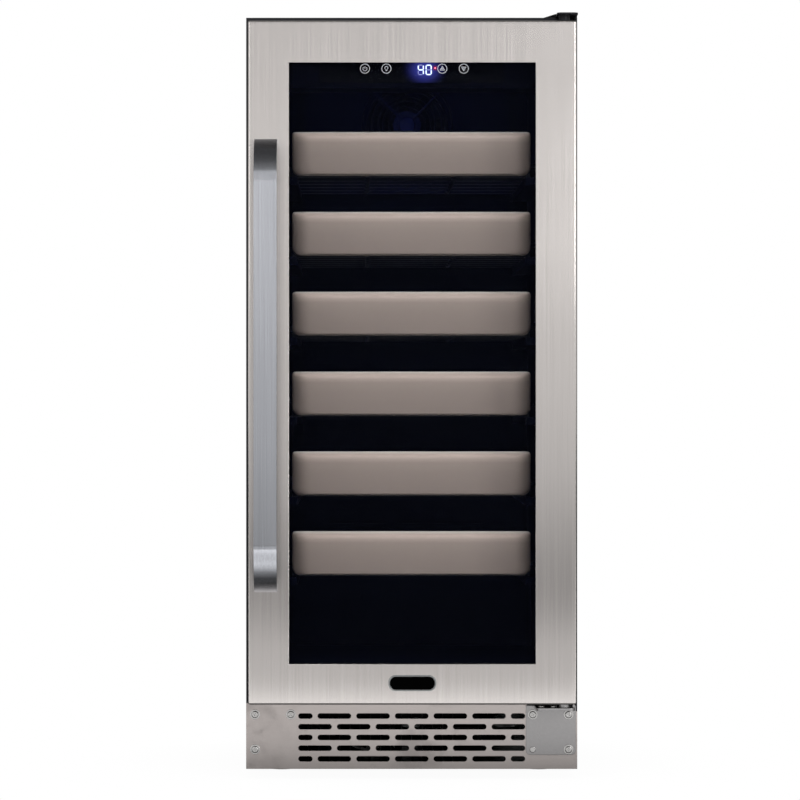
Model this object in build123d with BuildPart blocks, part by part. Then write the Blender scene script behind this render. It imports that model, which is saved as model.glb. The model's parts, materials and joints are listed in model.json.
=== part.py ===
from build123d import *
import os
from math import sqrt

# Under-counter wine cooler with a glass door, 372 mm wide for a 15 inch opening.
# Millimetres, +Z up. The door faces -Y and is hinged on the +X side.
# The origin is on the floor, under the middle of the whole outline.

os.makedirs("parts", exist_ok=True)

# ---- driving dimensions ----

# cabinet
cabinet_width = 372.0
cabinet_top = 856.0
base_height = 12.0          # underside of the base with the feet screwed in
cabinet_front = -206.0      # face that the door gasket closes on
cabinet_back = 289.0        # rear edge of the side walls
sheet = 1.0                 # cabinet steel
wall_gap = 8.5              # rear spacers, which keep the back off the room's wall
spacer_x = 120.0
spacer_drop = 30.0

# cavity
side_wall = 37.0            # cabinet side, foam and liner together
ceiling_wall = 33.5
cavity_half_width = cabinet_width / 2 - side_wall
cavity_floor = 131.0
cavity_ceiling = cabinet_top - ceiling_wall
cavity_back = 252.0
duct_front = 211.0
hump_front = 130.0          # step in the floor over the compressor
hump_top = 222.0
liner_wall = 2.0
frame_depth = 2.0           # front frame between wrapper and liner
frame_bottom = 88.0

# machine compartment
deck_sheet = 1.2
deck_height = 95.0          # underside of the steel deck behind the kick plate
deck_riser = 149.2          # rear face of its upright part
deck_top_height = 193.8     # underside of the deck over the compressor
base_sheet = 1.5
tab_inner = cabinet_width / 2 - 59.5    # the kick plate's tabs reach in to this half width

# kick plate
kick_sheet = 1.2
kick_top = 86.0
slot_length = 37.7
slot_short = 16.1
slot_height = 6.2
slot_pitch_x = 43.45
slot_pitch_z = 12.03
slot_rows = 5
slots_in_row = 6
screw_outer_x = cabinet_width / 2 - 10
screw_inner_x = screw_outer_x - 40.2
screw_low_z = 34.0
screw_high_z = 73.3

# door
door_reveal = 3.5           # cabinet seen beside the door
door_width = cabinet_width - 2 * door_reveal
door_bottom = 87.9
door_top = cabinet_top - 7.7
door_front = -258.5
door_thickness = 44.0
door_skin_depth = 36.0      # how far the steel wraps back round the edges
skin = 1.0
skin_corner = 2.0
stile = 45.5
window_half_width = door_width / 2 - stile
window_bottom = door_bottom + 45.3
window_top = door_top - 46.9
rear_reveal = 6.0           # the opening is wider behind the panes
window_lip = 2.0            # the skin's edge round the glass
glass = 4.0
glass_cover = 9.0           # glass hidden behind the frame all round
pane_gap = 12.0
gasket_outer_x = door_width / 2 - 12.5
gasket_width = 11.0
gasket_depth = 8.0
gasket_outer_bottom = door_bottom + 14
gasket_outer_top = door_top - 12.8
gasket_rib = 3.0            # dart that holds the gasket in the door's groove
gasket_rib_depth = 4.5

# handle
handle_x = 19.7 - door_width / 2
handle_width = 25.4
handle_bottom = door_bottom + 125.1
handle_top = door_top - 131.8
handle_screw_inset = 4.3
handle_reach = 40.0
handle_thickness = 8.0
handle_bend = 50.0

# hinge
pivot_x = door_width / 2 - 12.7
pivot_y = door_front + 20
pin_radius = 4.0
pin_clearance = 0.05
pin_engagement = 14.0
bush_radius = 7.0
bush_length = 18.0
bracket_plate = 3.0
bracket_right = cabinet_width / 2 - 1.8
bracket_left = bracket_right - 55.9
bracket_bottom = 28.1
leg_top = 83.5
leg_front = pivot_y - 11.5
leg_right = pivot_x + 11.7
leg_left = leg_right - 43.4
collar_radius = 6.0
top_plate = 2.0
top_plate_left = pivot_x - 8.3
top_plate_right = pivot_x + 15
top_plate_back = cabinet_front + 56
hinge_screw_y = top_plate_back - 12
cover_left = top_plate_left - 14
cover_height = 4.4
cover_wall = 1.0

# shelves
shelf_pitch = 90.4
shelf_1_bottom = cavity_ceiling - 142.1
shelf_count = int((shelf_1_bottom - hump_top - 4) / shelf_pitch) + 1
trim_half_width = cavity_half_width - 14
trim_wall = 2.5
trim_height = 49.4
trim_front = cabinet_front + 22.5
trim_thickness = 18.0
rack_back = duct_front - 13
rail_width = 4.0
rail_height = 9.7
slat_count = 6
slat_thickness = 4.0
slat_top = 13.0
bottle_radius = 38.0
bottle_pitch = 98.5
scallop_floor = 4.0
stiffener_radius = 2.5
ledge_half_gap = trim_half_width - 6      # half the free width between the liner's ledges
ledge_height = 9.0
ledge_front = trim_front + 3.5
ledge_back = duct_front - 11
ledge_drop = 2.0            # ledge top below the shelf's lower edge
rib_half_gap = trim_half_width - 2.5
rib_height = 4.0
rib_rise = 12.5
rib_front = trim_front + 23.5
slide_clearance = 0.3

# control housing
housing_bottom = cavity_ceiling - 44.1
housing_front = cabinet_front + 15.5
housing_back = housing_front + 70.5
housing_wall = 2.0
panel_half_width = 104.0
panel_bottom = housing_bottom + 5.6
panel_top = cavity_ceiling - 5.5
panel_thickness = 2.0
digit_height = 11.8
digit_width = 7.0
digit_stroke = 1.3
digit_depth = 0.3
digit_z = housing_bottom + 20.2
digit_x = (10.5, 19.3)
light_half_length = 105.0
light_height = 12.0
light_depth = 2.5
light_z = housing_bottom + 14
board_rise = 6.0
board_length = 156.0
board_width = 38.0

# air duct and fans
duct_half_width = cavity_half_width - 24.5
duct_bottom = hump_top + 2
duct_top = cavity_ceiling - 4.5
duct_wall = 2.0
fan_z = cavity_ceiling - 58.6
fan_size = 104.0
fan_depth = 25.0
fan_bore = 49.0
fan_hub = 17.0
fan_shaft = 2.0
guard_depth = 3.0
guard_rings = (22.0, 29.4, 35.0, 43.0, 48.8, 55.2)
guard_wire = 2.2
condenser_fan_x = -50.0
condenser_fan_y = -12.0
condenser_fan_size = 78.0
rotor_gap = 3.0             # between the blade tips and the bore
condenser_fan_bore = 36.0
condenser_fan_hub = 15.0

# refrigeration parts
coil_left = 69.5 - cabinet_width / 2
coil_right = 48.0
coil_front = -150.0
coil_back = -34.0
coil_top = 88.0
fin_count = 15
fin_thickness = 0.8
coil_tube = 3.5
compressor_x = 62.0
compressor_y = 219.0
compressor_radius = 52.0
compressor_height = 118.0
relay_reach = 20.0
relay_half_width = 22.0
relay_bottom = 36.0
relay_top = 82.0
grommet_height = 12.0
grommet_radius = 8.0
plate_half_x = 70.0
plate_half_y = 46.0
evaporator_half_width = duct_half_width - 20.5
evaporator_rise = 76.0      # over the duct's floor
evaporator_drop = 73.9      # under the fan's axis
evaporator_bottom = duct_bottom + evaporator_rise
evaporator_top = fan_z - evaporator_drop
evaporator_y = cavity_back - 22
evaporator_sheet = 1.5
evaporator_tube = 4.0
line_radius = 3.0
line_clearance = 0.5
line_x = 60.0
line_y = cavity_back + 19
line_port_rise = 100.0
line_port_z = evaporator_bottom + line_port_rise
drier_radius = 10.0
drier_length = 84.0
drier_rise = 21.8          # above the liquid line
pan_wall = 2.0
pan_depth = 22.0
pan_half_x = 70.0
pan_half_y = 60.0
gland_x = -150.0
gland_z = 60.0
gland_bore = 4.5
gland_radius = 8.0
gland_flange = 12.0
gland_length = 14.0

# feet
foot_x = cabinet_width / 2 - 37.5
foot_front_y = -65.0
foot_back_y = 240.0
foot_radius = 15.0
foot_pad = 8.0
foot_stem = 4.0
foot_stem_top = 58.0
foot_clearance = 0.3
nut_radius = 8.0
nut_height = 8.0

# badge
badge_width = 53.3
badge_height = 17.8
badge_z = 112.0
badge_thickness = 1.2
badge_rim = 1.4

# vents of the rear cover
vent_length = 36.0
vent_height = 5.0
vent_pitch_x = 44.0
vent_pitch_z = 12.0
vents_across = 5
vents_down = 10

# ---- derived places ----
half_width = cabinet_width / 2
inner_half_width = half_width - sheet
frame_back = cabinet_front + frame_depth
panel_back = cabinet_back + sheet
spacer_back = panel_back + wall_gap
door_half_width = door_width / 2
door_back = door_front + door_thickness
skin_back = door_front + door_skin_depth
core_half_width = door_half_width - skin
pane_front = door_front + window_lip
pane_back = pane_front + 2 * glass + pane_gap
gasket_back = door_back + gasket_depth
handle_front = door_front - handle_reach
kick_front = cabinet_front - kick_sheet
bracket_front = kick_front - bracket_plate
trim_back = trim_front + trim_thickness
rail_outer = trim_half_width
rail_inner = rail_outer - rail_width
rail_low = slide_clearance - ledge_drop
base_floor = base_height + base_sheet
panel_front = housing_front - panel_thickness
shelf_bottoms = [shelf_1_bottom - shelf_pitch * n for n in range(shelf_count)]
panel_split = deck_top_height + deck_sheet + 5.0
left_screw_places = [(-screw_outer_x, screw_high_z), (-screw_inner_x, screw_high_z), (-screw_outer_x, screw_low_z)]
plate_screw_places = [(screw_outer_x, screw_high_z), (screw_inner_x, screw_high_z), (screw_outer_x, screw_low_z)]
rivet_place = (screw_inner_x, screw_low_z)
kick_screw_places = left_screw_places + plate_screw_places + [rivet_place]


def block(x, y, z, mode=Mode.ADD):
    # a box given by its (low, high) along each axis
    centre = ((x[0] + x[1]) / 2, (y[0] + y[1]) / 2, (z[0] + z[1]) / 2)
    with Locations(centre):
        Box(x[1] - x[0], y[1] - y[0], z[1] - z[0], mode=mode)


def span(half):
    return (-half, half)


def finish(piece, name):
    piece.part.label = name
    export_step(piece.part, f"parts/{name}.step")


def screw(head, head_height, shank, shank_length, washer=0.0, cross=True):
    # a screw along +Z, with the underside of its head or washer at z = 0
    washer_height = 0.8 if washer else 0.0
    with BuildPart() as piece:
        with BuildSketch(Plane.XY.offset(-shank_length)):
            Circle(shank)
        extrude(amount=shank_length + head_height / 2)
        with BuildSketch(Plane.XY.offset(washer_height)):
            Circle(head)
        extrude(amount=head_height)
        fillet(piece.edges().sort_by(Axis.Z)[-1], radius=head_height * 0.45)
        if washer:
            with BuildSketch():
                Circle(washer)
            extrude(amount=washer_height)
        if cross:
            with Locations((0, 0, washer_height + head_height)):
                Box(head * 1.1, head * 0.24, head_height * 0.9, mode=Mode.SUBTRACT)
                Box(head * 0.24, head * 1.1, head_height * 0.9, mode=Mode.SUBTRACT)
    return piece.part


# ---- cabinet shell ----

with BuildPart() as cabinet_wrapper:
    block(span(half_width), (cabinet_front, cabinet_back), (base_height, cabinet_top))
    block(span(inner_half_width), (cabinet_front, cabinet_back), (base_height, cabinet_top - sheet), Mode.SUBTRACT)
    # screw holes of the upper hinge
    with Locations(*[(x, hinge_screw_y, cabinet_top) for x in (top_plate_left + 6, top_plate_right - 6)]):
        Cylinder(2.0, 4 * sheet, mode=Mode.SUBTRACT)
finish(cabinet_wrapper, "cabinet_wrapper")

with BuildPart() as face_frame:
    block(span(inner_half_width), (cabinet_front, frame_back), (frame_bottom, cabinet_top - sheet))
    block(span(cavity_half_width), (cabinet_front, frame_back), (cavity_floor, cavity_ceiling), Mode.SUBTRACT)
finish(face_frame, "face_frame")

with BuildPart() as rear_panel:
    block(span(half_width), (cabinet_back, panel_back), (panel_split, cabinet_top))
    # pressed stiffening field
    block(span(half_width - 40), (panel_back - sheet / 2, panel_back), (panel_split + 60, cabinet_top - 60), Mode.SUBTRACT)
finish(rear_panel, "rear_panel")

with BuildPart() as compressor_cover:
    with BuildSketch(Plane.XZ.offset(-cabinet_back)):
        with Locations((0, (base_height + panel_split) / 2)):
            Rectangle(2 * half_width, panel_split - base_height)
        with Locations((half_width - 127.5, (base_height + panel_split) / 2)):
            with GridLocations(vent_pitch_x, vent_pitch_z, vents_across, vents_down):
                SlotOverall(vent_length, vent_height, mode=Mode.SUBTRACT)
        with Locations((gland_x, gland_z)):
            Circle(gland_radius, mode=Mode.SUBTRACT)
    extrude(amount=-sheet)
finish(compressor_cover, "compressor_cover")

with BuildPart() as wall_spacers:
    with BuildSketch(Plane.XZ.offset(-panel_back)):
        with Locations((0, cabinet_top - spacer_drop)):
            with GridLocations(2 * spacer_x, 10, 2, 1):
                RectangleRounded(50, 24, 5)
    extrude(amount=-wall_gap, taper=6)
finish(wall_spacers, "wall_spacers")

with BuildPart() as base_pan:
    block(span(inner_half_width), (cabinet_front, cabinet_back), (base_height, base_floor))
    for side in (-1, 1):
        wall = sorted((side * (inner_half_width - base_sheet), side * inner_half_width))
        tab = sorted((side * tab_inner, side * inner_half_width))
        block(wall, (cabinet_front, cabinet_back), (base_height, kick_top))
        block(tab, (cabinet_front, cabinet_front + base_sheet), (base_height, kick_top))
    # nuts for the feet, welded on the floor
    with BuildSketch(Plane.XY.offset(base_floor)):
        with Locations((0, (foot_front_y + foot_back_y) / 2)):
            with GridLocations(2 * foot_x, foot_back_y - foot_front_y, 2, 2):
                RegularPolygon(nut_radius, 6)
    extrude(amount=nut_height)
    with Locations((0, (foot_front_y + foot_back_y) / 2, base_floor)):
        with GridLocations(2 * foot_x, foot_back_y - foot_front_y, 2, 2):
            Cylinder(foot_stem + pin_clearance, 4 * nut_height, mode=Mode.SUBTRACT)
    # thread holes of the kick plate's screws
    with BuildSketch(Plane.XZ.offset(-cabinet_front)):
        with Locations(*kick_screw_places):
            Circle(2.0)
    extrude(amount=-base_sheet, mode=Mode.SUBTRACT)
finish(base_pan, "base_pan")

deck_profile = [
    (frame_back, deck_height),
    (deck_riser, deck_height),
    (deck_riser, deck_top_height),
    (cabinet_back, deck_top_height),
    (cabinet_back, deck_top_height + deck_sheet),
    (deck_riser - deck_sheet, deck_top_height + deck_sheet),
    (deck_riser - deck_sheet, deck_height + deck_sheet),
    (frame_back, deck_height + deck_sheet),
]

with BuildPart() as compartment_deck:
    with BuildSketch(Plane.YZ.offset(-inner_half_width)):
        with BuildLine():
            Polyline(*deck_profile, close=True)
        make_face()
    extrude(amount=2 * inner_half_width)
    with Locations(*[(x, line_y, deck_top_height) for x in span(line_x)]):
        Cylinder(line_radius + line_clearance, 4 * deck_sheet, mode=Mode.SUBTRACT)
finish(compartment_deck, "compartment_deck")

# ---- liner and insulation ----

cavity_profile = [
    (frame_back, cavity_floor),
    (hump_front, cavity_floor),
    (hump_front, hump_top),
    (cavity_back, hump_top),
    (cavity_back, cavity_ceiling),
    (frame_back, cavity_ceiling),
]
shell_profile = [
    (frame_back, cavity_floor - liner_wall),
    (hump_front + liner_wall, cavity_floor - liner_wall),
    (hump_front + liner_wall, hump_top - liner_wall),
    (cavity_back + liner_wall, hump_top - liner_wall),
    (cavity_back + liner_wall, cavity_ceiling + liner_wall),
    (frame_back, cavity_ceiling + liner_wall),
]
foam_profile = [
    (frame_back, deck_height + deck_sheet),
    (deck_riser - deck_sheet, deck_height + deck_sheet),
    (deck_riser - deck_sheet, deck_top_height + deck_sheet),
    (cabinet_back, deck_top_height + deck_sheet),
    (cabinet_back, cabinet_top - sheet),
    (frame_back, cabinet_top - sheet),
]
shell_half_width = cavity_half_width + liner_wall
line_bores = [(x, cavity_back + liner_wall, line_port_z) for x in span(line_x)]

with BuildPart() as inner_liner:
    with BuildSketch(Plane.YZ.offset(-shell_half_width)):
        with BuildLine():
            Polyline(*shell_profile, close=True)
        make_face()
    extrude(amount=2 * shell_half_width)
    shell = inner_liner.part
    with BuildSketch(Plane.YZ.offset(-cavity_half_width)):
        with BuildLine():
            Polyline(*cavity_profile, close=True)
        make_face()
    extrude(amount=2 * cavity_half_width, mode=Mode.SUBTRACT)
    # a ledge under each shelf and a rib over it, on both side walls
    for bottom in shelf_bottoms:
        ledge_top = bottom - ledge_drop
        for side in (-1, 1):
            ledge = sorted((side * ledge_half_gap, side * cavity_half_width))
            rib = sorted((side * rib_half_gap, side * cavity_half_width))
            block(ledge, (ledge_front, ledge_back), (ledge_top - ledge_height, ledge_top))
            block(rib, (rib_front, ledge_back), (ledge_top + rib_rise, ledge_top + rib_rise + rib_height))
    add(shell, mode=Mode.INTERSECT)
    with Locations(*line_bores):
        Cylinder(line_radius + line_clearance, 6 * liner_wall, rotation=(90, 0, 0), mode=Mode.SUBTRACT)
finish(inner_liner, "inner_liner")

with BuildPart() as foam_insulation:
    with BuildSketch(Plane.YZ.offset(-inner_half_width)):
        with BuildLine():
            Polyline(*foam_profile, close=True)
        make_face()
    extrude(amount=2 * inner_half_width)
    with BuildSketch(Plane.YZ.offset(-shell_half_width)):
        with BuildLine():
            Polyline(*shell_profile, close=True)
        make_face()
    extrude(amount=2 * shell_half_width, mode=Mode.SUBTRACT)
    # channels for the two refrigerant lines, and for the upper hinge's screws
    for x in span(line_x):
        channel = line_radius + line_clearance
        block((x - channel, x + channel), (cavity_back + liner_wall, line_y + channel),
              (deck_top_height + deck_sheet, line_port_z + channel), Mode.SUBTRACT)
    with Locations(*[(x, hinge_screw_y, cabinet_top - 6) for x in (top_plate_left + 6, top_plate_right - 6)]):
        Cylinder(2.0, 12, mode=Mode.SUBTRACT)
finish(foam_insulation, "foam_insulation")

# ---- kick plate ----

with BuildPart() as toe_kick:
    slot_middle_z = (base_height + kick_top) / 2 - 1.6
    long_zone = slots_in_row * slot_pitch_x / 2
    with BuildSketch(Plane.XZ.offset(-cabinet_front)):
        with Locations((0, (base_height + kick_top) / 2)):
            Rectangle(2 * half_width, kick_top - base_height)
        # upper right notch behind the hinge leg
        with Locations((half_width, kick_top)):
            Rectangle(2 * (half_width - tab_inner - 3), 18, mode=Mode.SUBTRACT)
        for row in range(slot_rows):
            z = slot_middle_z + (row - (slot_rows - 1) / 2) * slot_pitch_z
            if row % 2:
                with Locations((0, z)):
                    with GridLocations(slot_pitch_x, 10, slots_in_row, 1):
                        SlotOverall(slot_length, slot_height, mode=Mode.SUBTRACT)
            else:
                with Locations((0, z)):
                    with GridLocations(slot_pitch_x, 10, slots_in_row - 1, 1):
                        SlotOverall(slot_length, slot_height, mode=Mode.SUBTRACT)
                    with GridLocations(2 * long_zone - slot_pitch_x + slot_length - slot_short, 10, 2, 1):
                        SlotOverall(slot_short, slot_height, mode=Mode.SUBTRACT)
        with Locations(*kick_screw_places):
            Circle(2.2, mode=Mode.SUBTRACT)
    extrude(amount=kick_sheet)
finish(toe_kick, "toe_kick")

# ---- hinges ----

with BuildPart() as lower_hinge_bracket:
    with BuildSketch(Plane.XZ.offset(-kick_front)):
        with Locations(((bracket_left + bracket_right) / 2, (bracket_bottom + leg_top) / 2)):
            plate = Rectangle(bracket_right - bracket_left, leg_top - bracket_bottom)
        fillet(plate.vertices().group_by(Axis.Y)[0], radius=5)
        for x in (screw_inner_x, screw_outer_x):
            for z in (screw_low_z, screw_high_z):
                with Locations((x, z)):
                    Circle(2.2, mode=Mode.SUBTRACT)
    extrude(amount=bracket_plate)
    with BuildSketch(Plane.XY.offset(leg_top - bracket_plate)):
        with Locations(((leg_left + leg_right) / 2, (leg_front + kick_front) / 2)):
            leg = Rectangle(leg_right - leg_left, kick_front - leg_front)
        fillet(leg.vertices().group_by(Axis.Y)[0], radius=6)
    extrude(amount=bracket_plate)
    with Locations(*[(x, pivot_y + 8, leg_top) for x in (leg_left + 7, leg_left + 20)]):
        Cylinder(2.0, 4 * bracket_plate, mode=Mode.SUBTRACT)
    # collar and pin that carry the door
    with BuildSketch(Plane.XY.offset(leg_top)):
        with Locations((pivot_x, pivot_y)):
            Circle(collar_radius)
    extrude(amount=door_bottom - leg_top - slide_clearance)
    with BuildSketch(Plane.XY.offset(leg_top)):
        with Locations((pivot_x, pivot_y)):
            Circle(pin_radius)
    extrude(amount=door_bottom - leg_top + pin_engagement)
    # stop lug at the outer end
    block((leg_right - 2.5, leg_right), (leg_front + 8, leg_front + 14), (leg_top, door_bottom - 2 * slide_clearance))
finish(lower_hinge_bracket, "lower_hinge_bracket")

with BuildPart() as upper_hinge_bracket:
    with BuildSketch(Plane.XY.offset(cabinet_top)):
        with Locations(((top_plate_left + top_plate_right) / 2, (leg_front + top_plate_back) / 2)):
            arm = Rectangle(top_plate_right - top_plate_left, top_plate_back - leg_front)
        fillet(arm.vertices().group_by(Axis.Y)[0], radius=6)
        with Locations(*[(x, hinge_screw_y) for x in (top_plate_left + 6, top_plate_right - 6)]):
            Circle(2.0, mode=Mode.SUBTRACT)
    extrude(amount=top_plate)
    with BuildSketch(Plane.XY.offset(cabinet_top)):
        with Locations((pivot_x, pivot_y)):
            Circle(collar_radius)
    extrude(amount=-(cabinet_top - door_top - slide_clearance))
    with BuildSketch(Plane.XY.offset(cabinet_top)):
        with Locations((pivot_x, pivot_y)):
            Circle(pin_radius)
    extrude(amount=-(cabinet_top - door_top + pin_engagement))
    # turned-down lug at the outer edge
    block((top_plate_right - 2, top_plate_right), (cabinet_front - 14, cabinet_front - 2), (door_top + 4, cabinet_top))
finish(upper_hinge_bracket, "upper_hinge_bracket")

with BuildPart() as hinge_cover:
    with BuildSketch(Plane.XZ.offset(-top_plate_back - 2)):
        with BuildLine():
            Polyline(
                (cover_left, cabinet_top),
                (half_width, cabinet_top),
                (half_width, cabinet_top + cover_height),
                (top_plate_left, cabinet_top + cover_height),
                close=True,
            )
        make_face()
    extrude(amount=top_plate_back + 2 - frame_back)
    block((top_plate_left - 0.3, top_plate_right + 0.1), (frame_back, top_plate_back + 1),
          (cabinet_top, cabinet_top + cover_height - cover_wall), Mode.SUBTRACT)
finish(hinge_cover, "hinge_cover")

kick_screw = screw(4.0, 2.0, 2.0, kick_sheet + base_sheet, washer=5.4)
plate_screw = screw(4.0, 2.0, 2.0, bracket_plate + kick_sheet + base_sheet, washer=5.0)
plate_rivet = screw(3.4, 1.2, 2.0, bracket_plate + kick_sheet + base_sheet, cross=False)
leg_screw = screw(3.6, 1.8, 2.0, bracket_plate)
flat_screw = screw(4.0, 1.0, 2.0, top_plate + 8)

with BuildPart() as case_screws:
    with Locations(Plane.XZ.offset(-kick_front)):
        with Locations(*left_screw_places):
            add(kick_screw)
    with Locations(Plane.XZ.offset(-bracket_front)):
        with Locations(*plate_screw_places):
            add(plate_screw)
        with Locations(rivet_place):
            add(plate_rivet)
    with Locations(*[(x, pivot_y + 8, leg_top) for x in (leg_left + 7, leg_left + 20)]):
        add(leg_screw)
    with Locations(*[(x, hinge_screw_y, cabinet_top + top_plate) for x in (top_plate_left + 6, top_plate_right - 6)]):
        add(flat_screw)
finish(case_screws, "case_screws")

# ---- control housing ----

with BuildPart() as control_housing:
    block(span(cavity_half_width), (housing_front, housing_back), (housing_bottom, cavity_ceiling))
    block(span(cavity_half_width - housing_wall), (housing_front + housing_wall, housing_back - housing_wall),
          (housing_bottom + housing_wall, cavity_ceiling), Mode.SUBTRACT)
    # posts under the circuit board
    with BuildSketch(Plane.XY.offset(housing_bottom + housing_wall)):
        with Locations((0, housing_front + 24)):
            with GridLocations(140, 24, 2, 2):
                Circle(3)
    extrude(amount=board_rise)
finish(control_housing, "control_housing")

with BuildPart() as control_board:
    board_z = housing_bottom + housing_wall + board_rise
    with BuildSketch(Plane.XY.offset(board_z)):
        with Locations((0, housing_front + 24)):
            Rectangle(board_length, board_width)
    extrude(amount=1.6)
    with BuildSketch(Plane.XY.offset(board_z + 1.6)):
        with Locations((-50, housing_front + 22), (50, housing_front + 24)):
            Rectangle(24, 20)
        with Locations((0, housing_front + 26)):
            Rectangle(14, 14)
    extrude(amount=9)
finish(control_board, "control_board")

with BuildPart() as display_panel:
    with BuildSketch(Plane.XZ.offset(-housing_front)):
        with Locations((0, (panel_bottom + panel_top) / 2)):
            RectangleRounded(2 * panel_half_width, panel_top - panel_bottom, 3)
    extrude(amount=panel_thickness)
finish(display_panel, "display_panel")

# seven-segment digits: each lit segment is (x, z, width, height) in halves of the digit
segments = {
    "top": (0, 1, True),
    "middle": (0, 0, True),
    "bottom": (0, -1, True),
    "upper_left": (-1, 0.5, False),
    "upper_right": (1, 0.5, False),
    "lower_left": (-1, -0.5, False),
    "lower_right": (1, -0.5, False),
}
lit = {
    4: ("upper_left", "upper_right", "middle", "lower_right"),
    0: ("top", "bottom", "upper_left", "upper_right", "lower_left", "lower_right"),
}

with BuildPart() as display_digits:
    reach_x = (digit_width - digit_stroke) / 2
    reach_z = (digit_height - digit_stroke) / 2
    with BuildSketch(Plane.XZ.offset(-panel_front)):
        for number, x in zip((4, 0), digit_x):
            for name in lit[number]:
                step_x, step_z, flat = segments[name]
                with Locations((x + step_x * reach_x, digit_z + step_z * reach_z)):
                    if flat:
                        SlotOverall(2 * reach_x - digit_stroke * 0.6, digit_stroke)
                    else:
                        SlotOverall(reach_z - digit_stroke * 0.6, digit_stroke, rotation=90)
    extrude(amount=digit_depth)
finish(display_digits, "display_digits")

with BuildPart() as light_strip:
    block(span(light_half_length), (housing_back, housing_back + light_depth), (light_z, light_z + light_height))
    fillet(light_strip.edges().group_by(Axis.Y)[-1], radius=light_depth * 0.4)
finish(light_strip, "light_strip")

# ---- air duct and circulation fan ----

with BuildPart() as duct_panel:
    block(span(duct_half_width), (duct_front, cavity_back), (duct_bottom, duct_top))
    block(span(duct_half_width - duct_wall), (duct_front + duct_wall, cavity_back),
          (duct_bottom + duct_wall, duct_top - duct_wall), Mode.SUBTRACT)
    with BuildSketch(Plane.XZ.offset(-duct_front)):
        with Locations((0, fan_z)):
            Circle(fan_bore)
            with GridLocations(fan_size - 14, fan_size - 14, 2, 2):
                Circle(1.6)
        with Locations((0, duct_bottom + 40)):
            with GridLocations(40, 14, 5, 3):
                SlotOverall(32, 6)
    extrude(amount=-duct_wall, mode=Mode.SUBTRACT)
finish(duct_panel, "duct_panel")


def fan_frame(plane, size, bore, hub):
    boss_depth = 12.0
    with BuildPart() as frame:
        with BuildSketch(plane):
            RectangleRounded(size, size, 4)
            Circle(bore, mode=Mode.SUBTRACT)
            with GridLocations(size - 14, size - 14, 2, 2):
                Circle(1.6, mode=Mode.SUBTRACT)
        extrude(amount=fan_depth)
        # four arms and the motor boss at the back
        with BuildSketch(plane.offset(fan_depth - 4)):
            Circle(hub + 1)
            with PolarLocations((bore + hub) / 2, 4, start_angle=45):
                Rectangle(bore - hub + 2, 4)
        extrude(amount=4)
        with BuildSketch(plane.offset(fan_depth - boss_depth)):
            Circle(hub * 0.5)
        extrude(amount=boss_depth)
        with BuildSketch(plane.offset(fan_depth - boss_depth)):
            Circle(fan_shaft + pin_clearance)
        extrude(amount=boss_depth, mode=Mode.SUBTRACT)
    return frame


def fan_rotor(plane, bore, hub):
    hub_depth = 10.0
    tip = bore - rotor_gap
    with BuildPart() as rotor:
        with BuildSketch(plane.offset(2)):
            Circle(hub)
        extrude(amount=hub_depth)
        with Locations(plane.offset(2 + hub_depth / 2)):
            with PolarLocations((hub + tip) / 2 - 0.5, 7):
                Box(tip - hub + 2, 15, 1.6, rotation=(35, 0, 0))
        with BuildSketch(plane.offset(2)):
            Circle(fan_shaft)
        extrude(amount=fan_depth - 3)
    return rotor


circulation_plane = Plane(origin=(0, duct_front + duct_wall, fan_z), x_dir=(1, 0, 0), z_dir=(0, 1, 0))
circulation_fan_frame = fan_frame(circulation_plane, fan_size, fan_bore, fan_hub)
finish(circulation_fan_frame, "circulation_fan_frame")
circulation_fan_rotor = fan_rotor(circulation_plane, fan_bore, fan_hub)
finish(circulation_fan_rotor, "circulation_fan_rotor")

with BuildPart() as fan_guard:
    with BuildSketch(Plane.XZ.offset(-duct_front)):
        with Locations((0, fan_z)):
            for radius in reversed(guard_rings):
                Circle(radius + guard_wire / 2)
                Circle(radius - guard_wire / 2, mode=Mode.SUBTRACT)
            Circle(10)
            lug_reach = (fan_size - 14) / sqrt(2)
            with PolarLocations((lug_reach + 8) / 2, 4, start_angle=45):
                Rectangle(lug_reach - 8, 3)
            with GridLocations(fan_size - 14, fan_size - 14, 2, 2):
                Circle(5)
    extrude(amount=guard_depth)
finish(fan_guard, "fan_guard")

with BuildPart() as evaporator:
    with BuildSketch(Plane.XZ.offset(-evaporator_y)):
        with Locations((0, (evaporator_bottom + evaporator_top) / 2)):
            RectangleRounded(2 * evaporator_half_width, evaporator_top - evaporator_bottom, 8)
    extrude(amount=-evaporator_sheet)
    # serpentine tube bonded to the plate's front
    turns = 7
    bend_pitch = (evaporator_top - evaporator_bottom - 60) / (turns - 1)
    reach = evaporator_half_width - 20
    corners = []
    for turn in range(turns):
        z = evaporator_bottom + 30 + turn * bend_pitch
        ends = (-reach, reach) if turn % 2 == 0 else (reach, -reach)
        corners += [(x, evaporator_y, z) for x in ends]
    with BuildLine() as serpentine:
        FilletPolyline(*corners, radius=bend_pitch * 0.45)
    with BuildSketch(Plane(origin=serpentine.line @ 0, z_dir=serpentine.line % 0)):
        Circle(evaporator_tube)
    sweep(path=serpentine.line)
    # standoffs on the liner's back wall
    with BuildSketch(Plane.XZ.offset(-evaporator_y)):
        with Locations((0, (evaporator_bottom + evaporator_top) / 2)):
            with GridLocations(2 * evaporator_half_width - 20, evaporator_top - evaporator_bottom - 20, 2, 2):
                Circle(4)
    extrude(amount=-(cavity_back - evaporator_y))
finish(evaporator, "evaporator")

# ---- machine compartment ----

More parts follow.
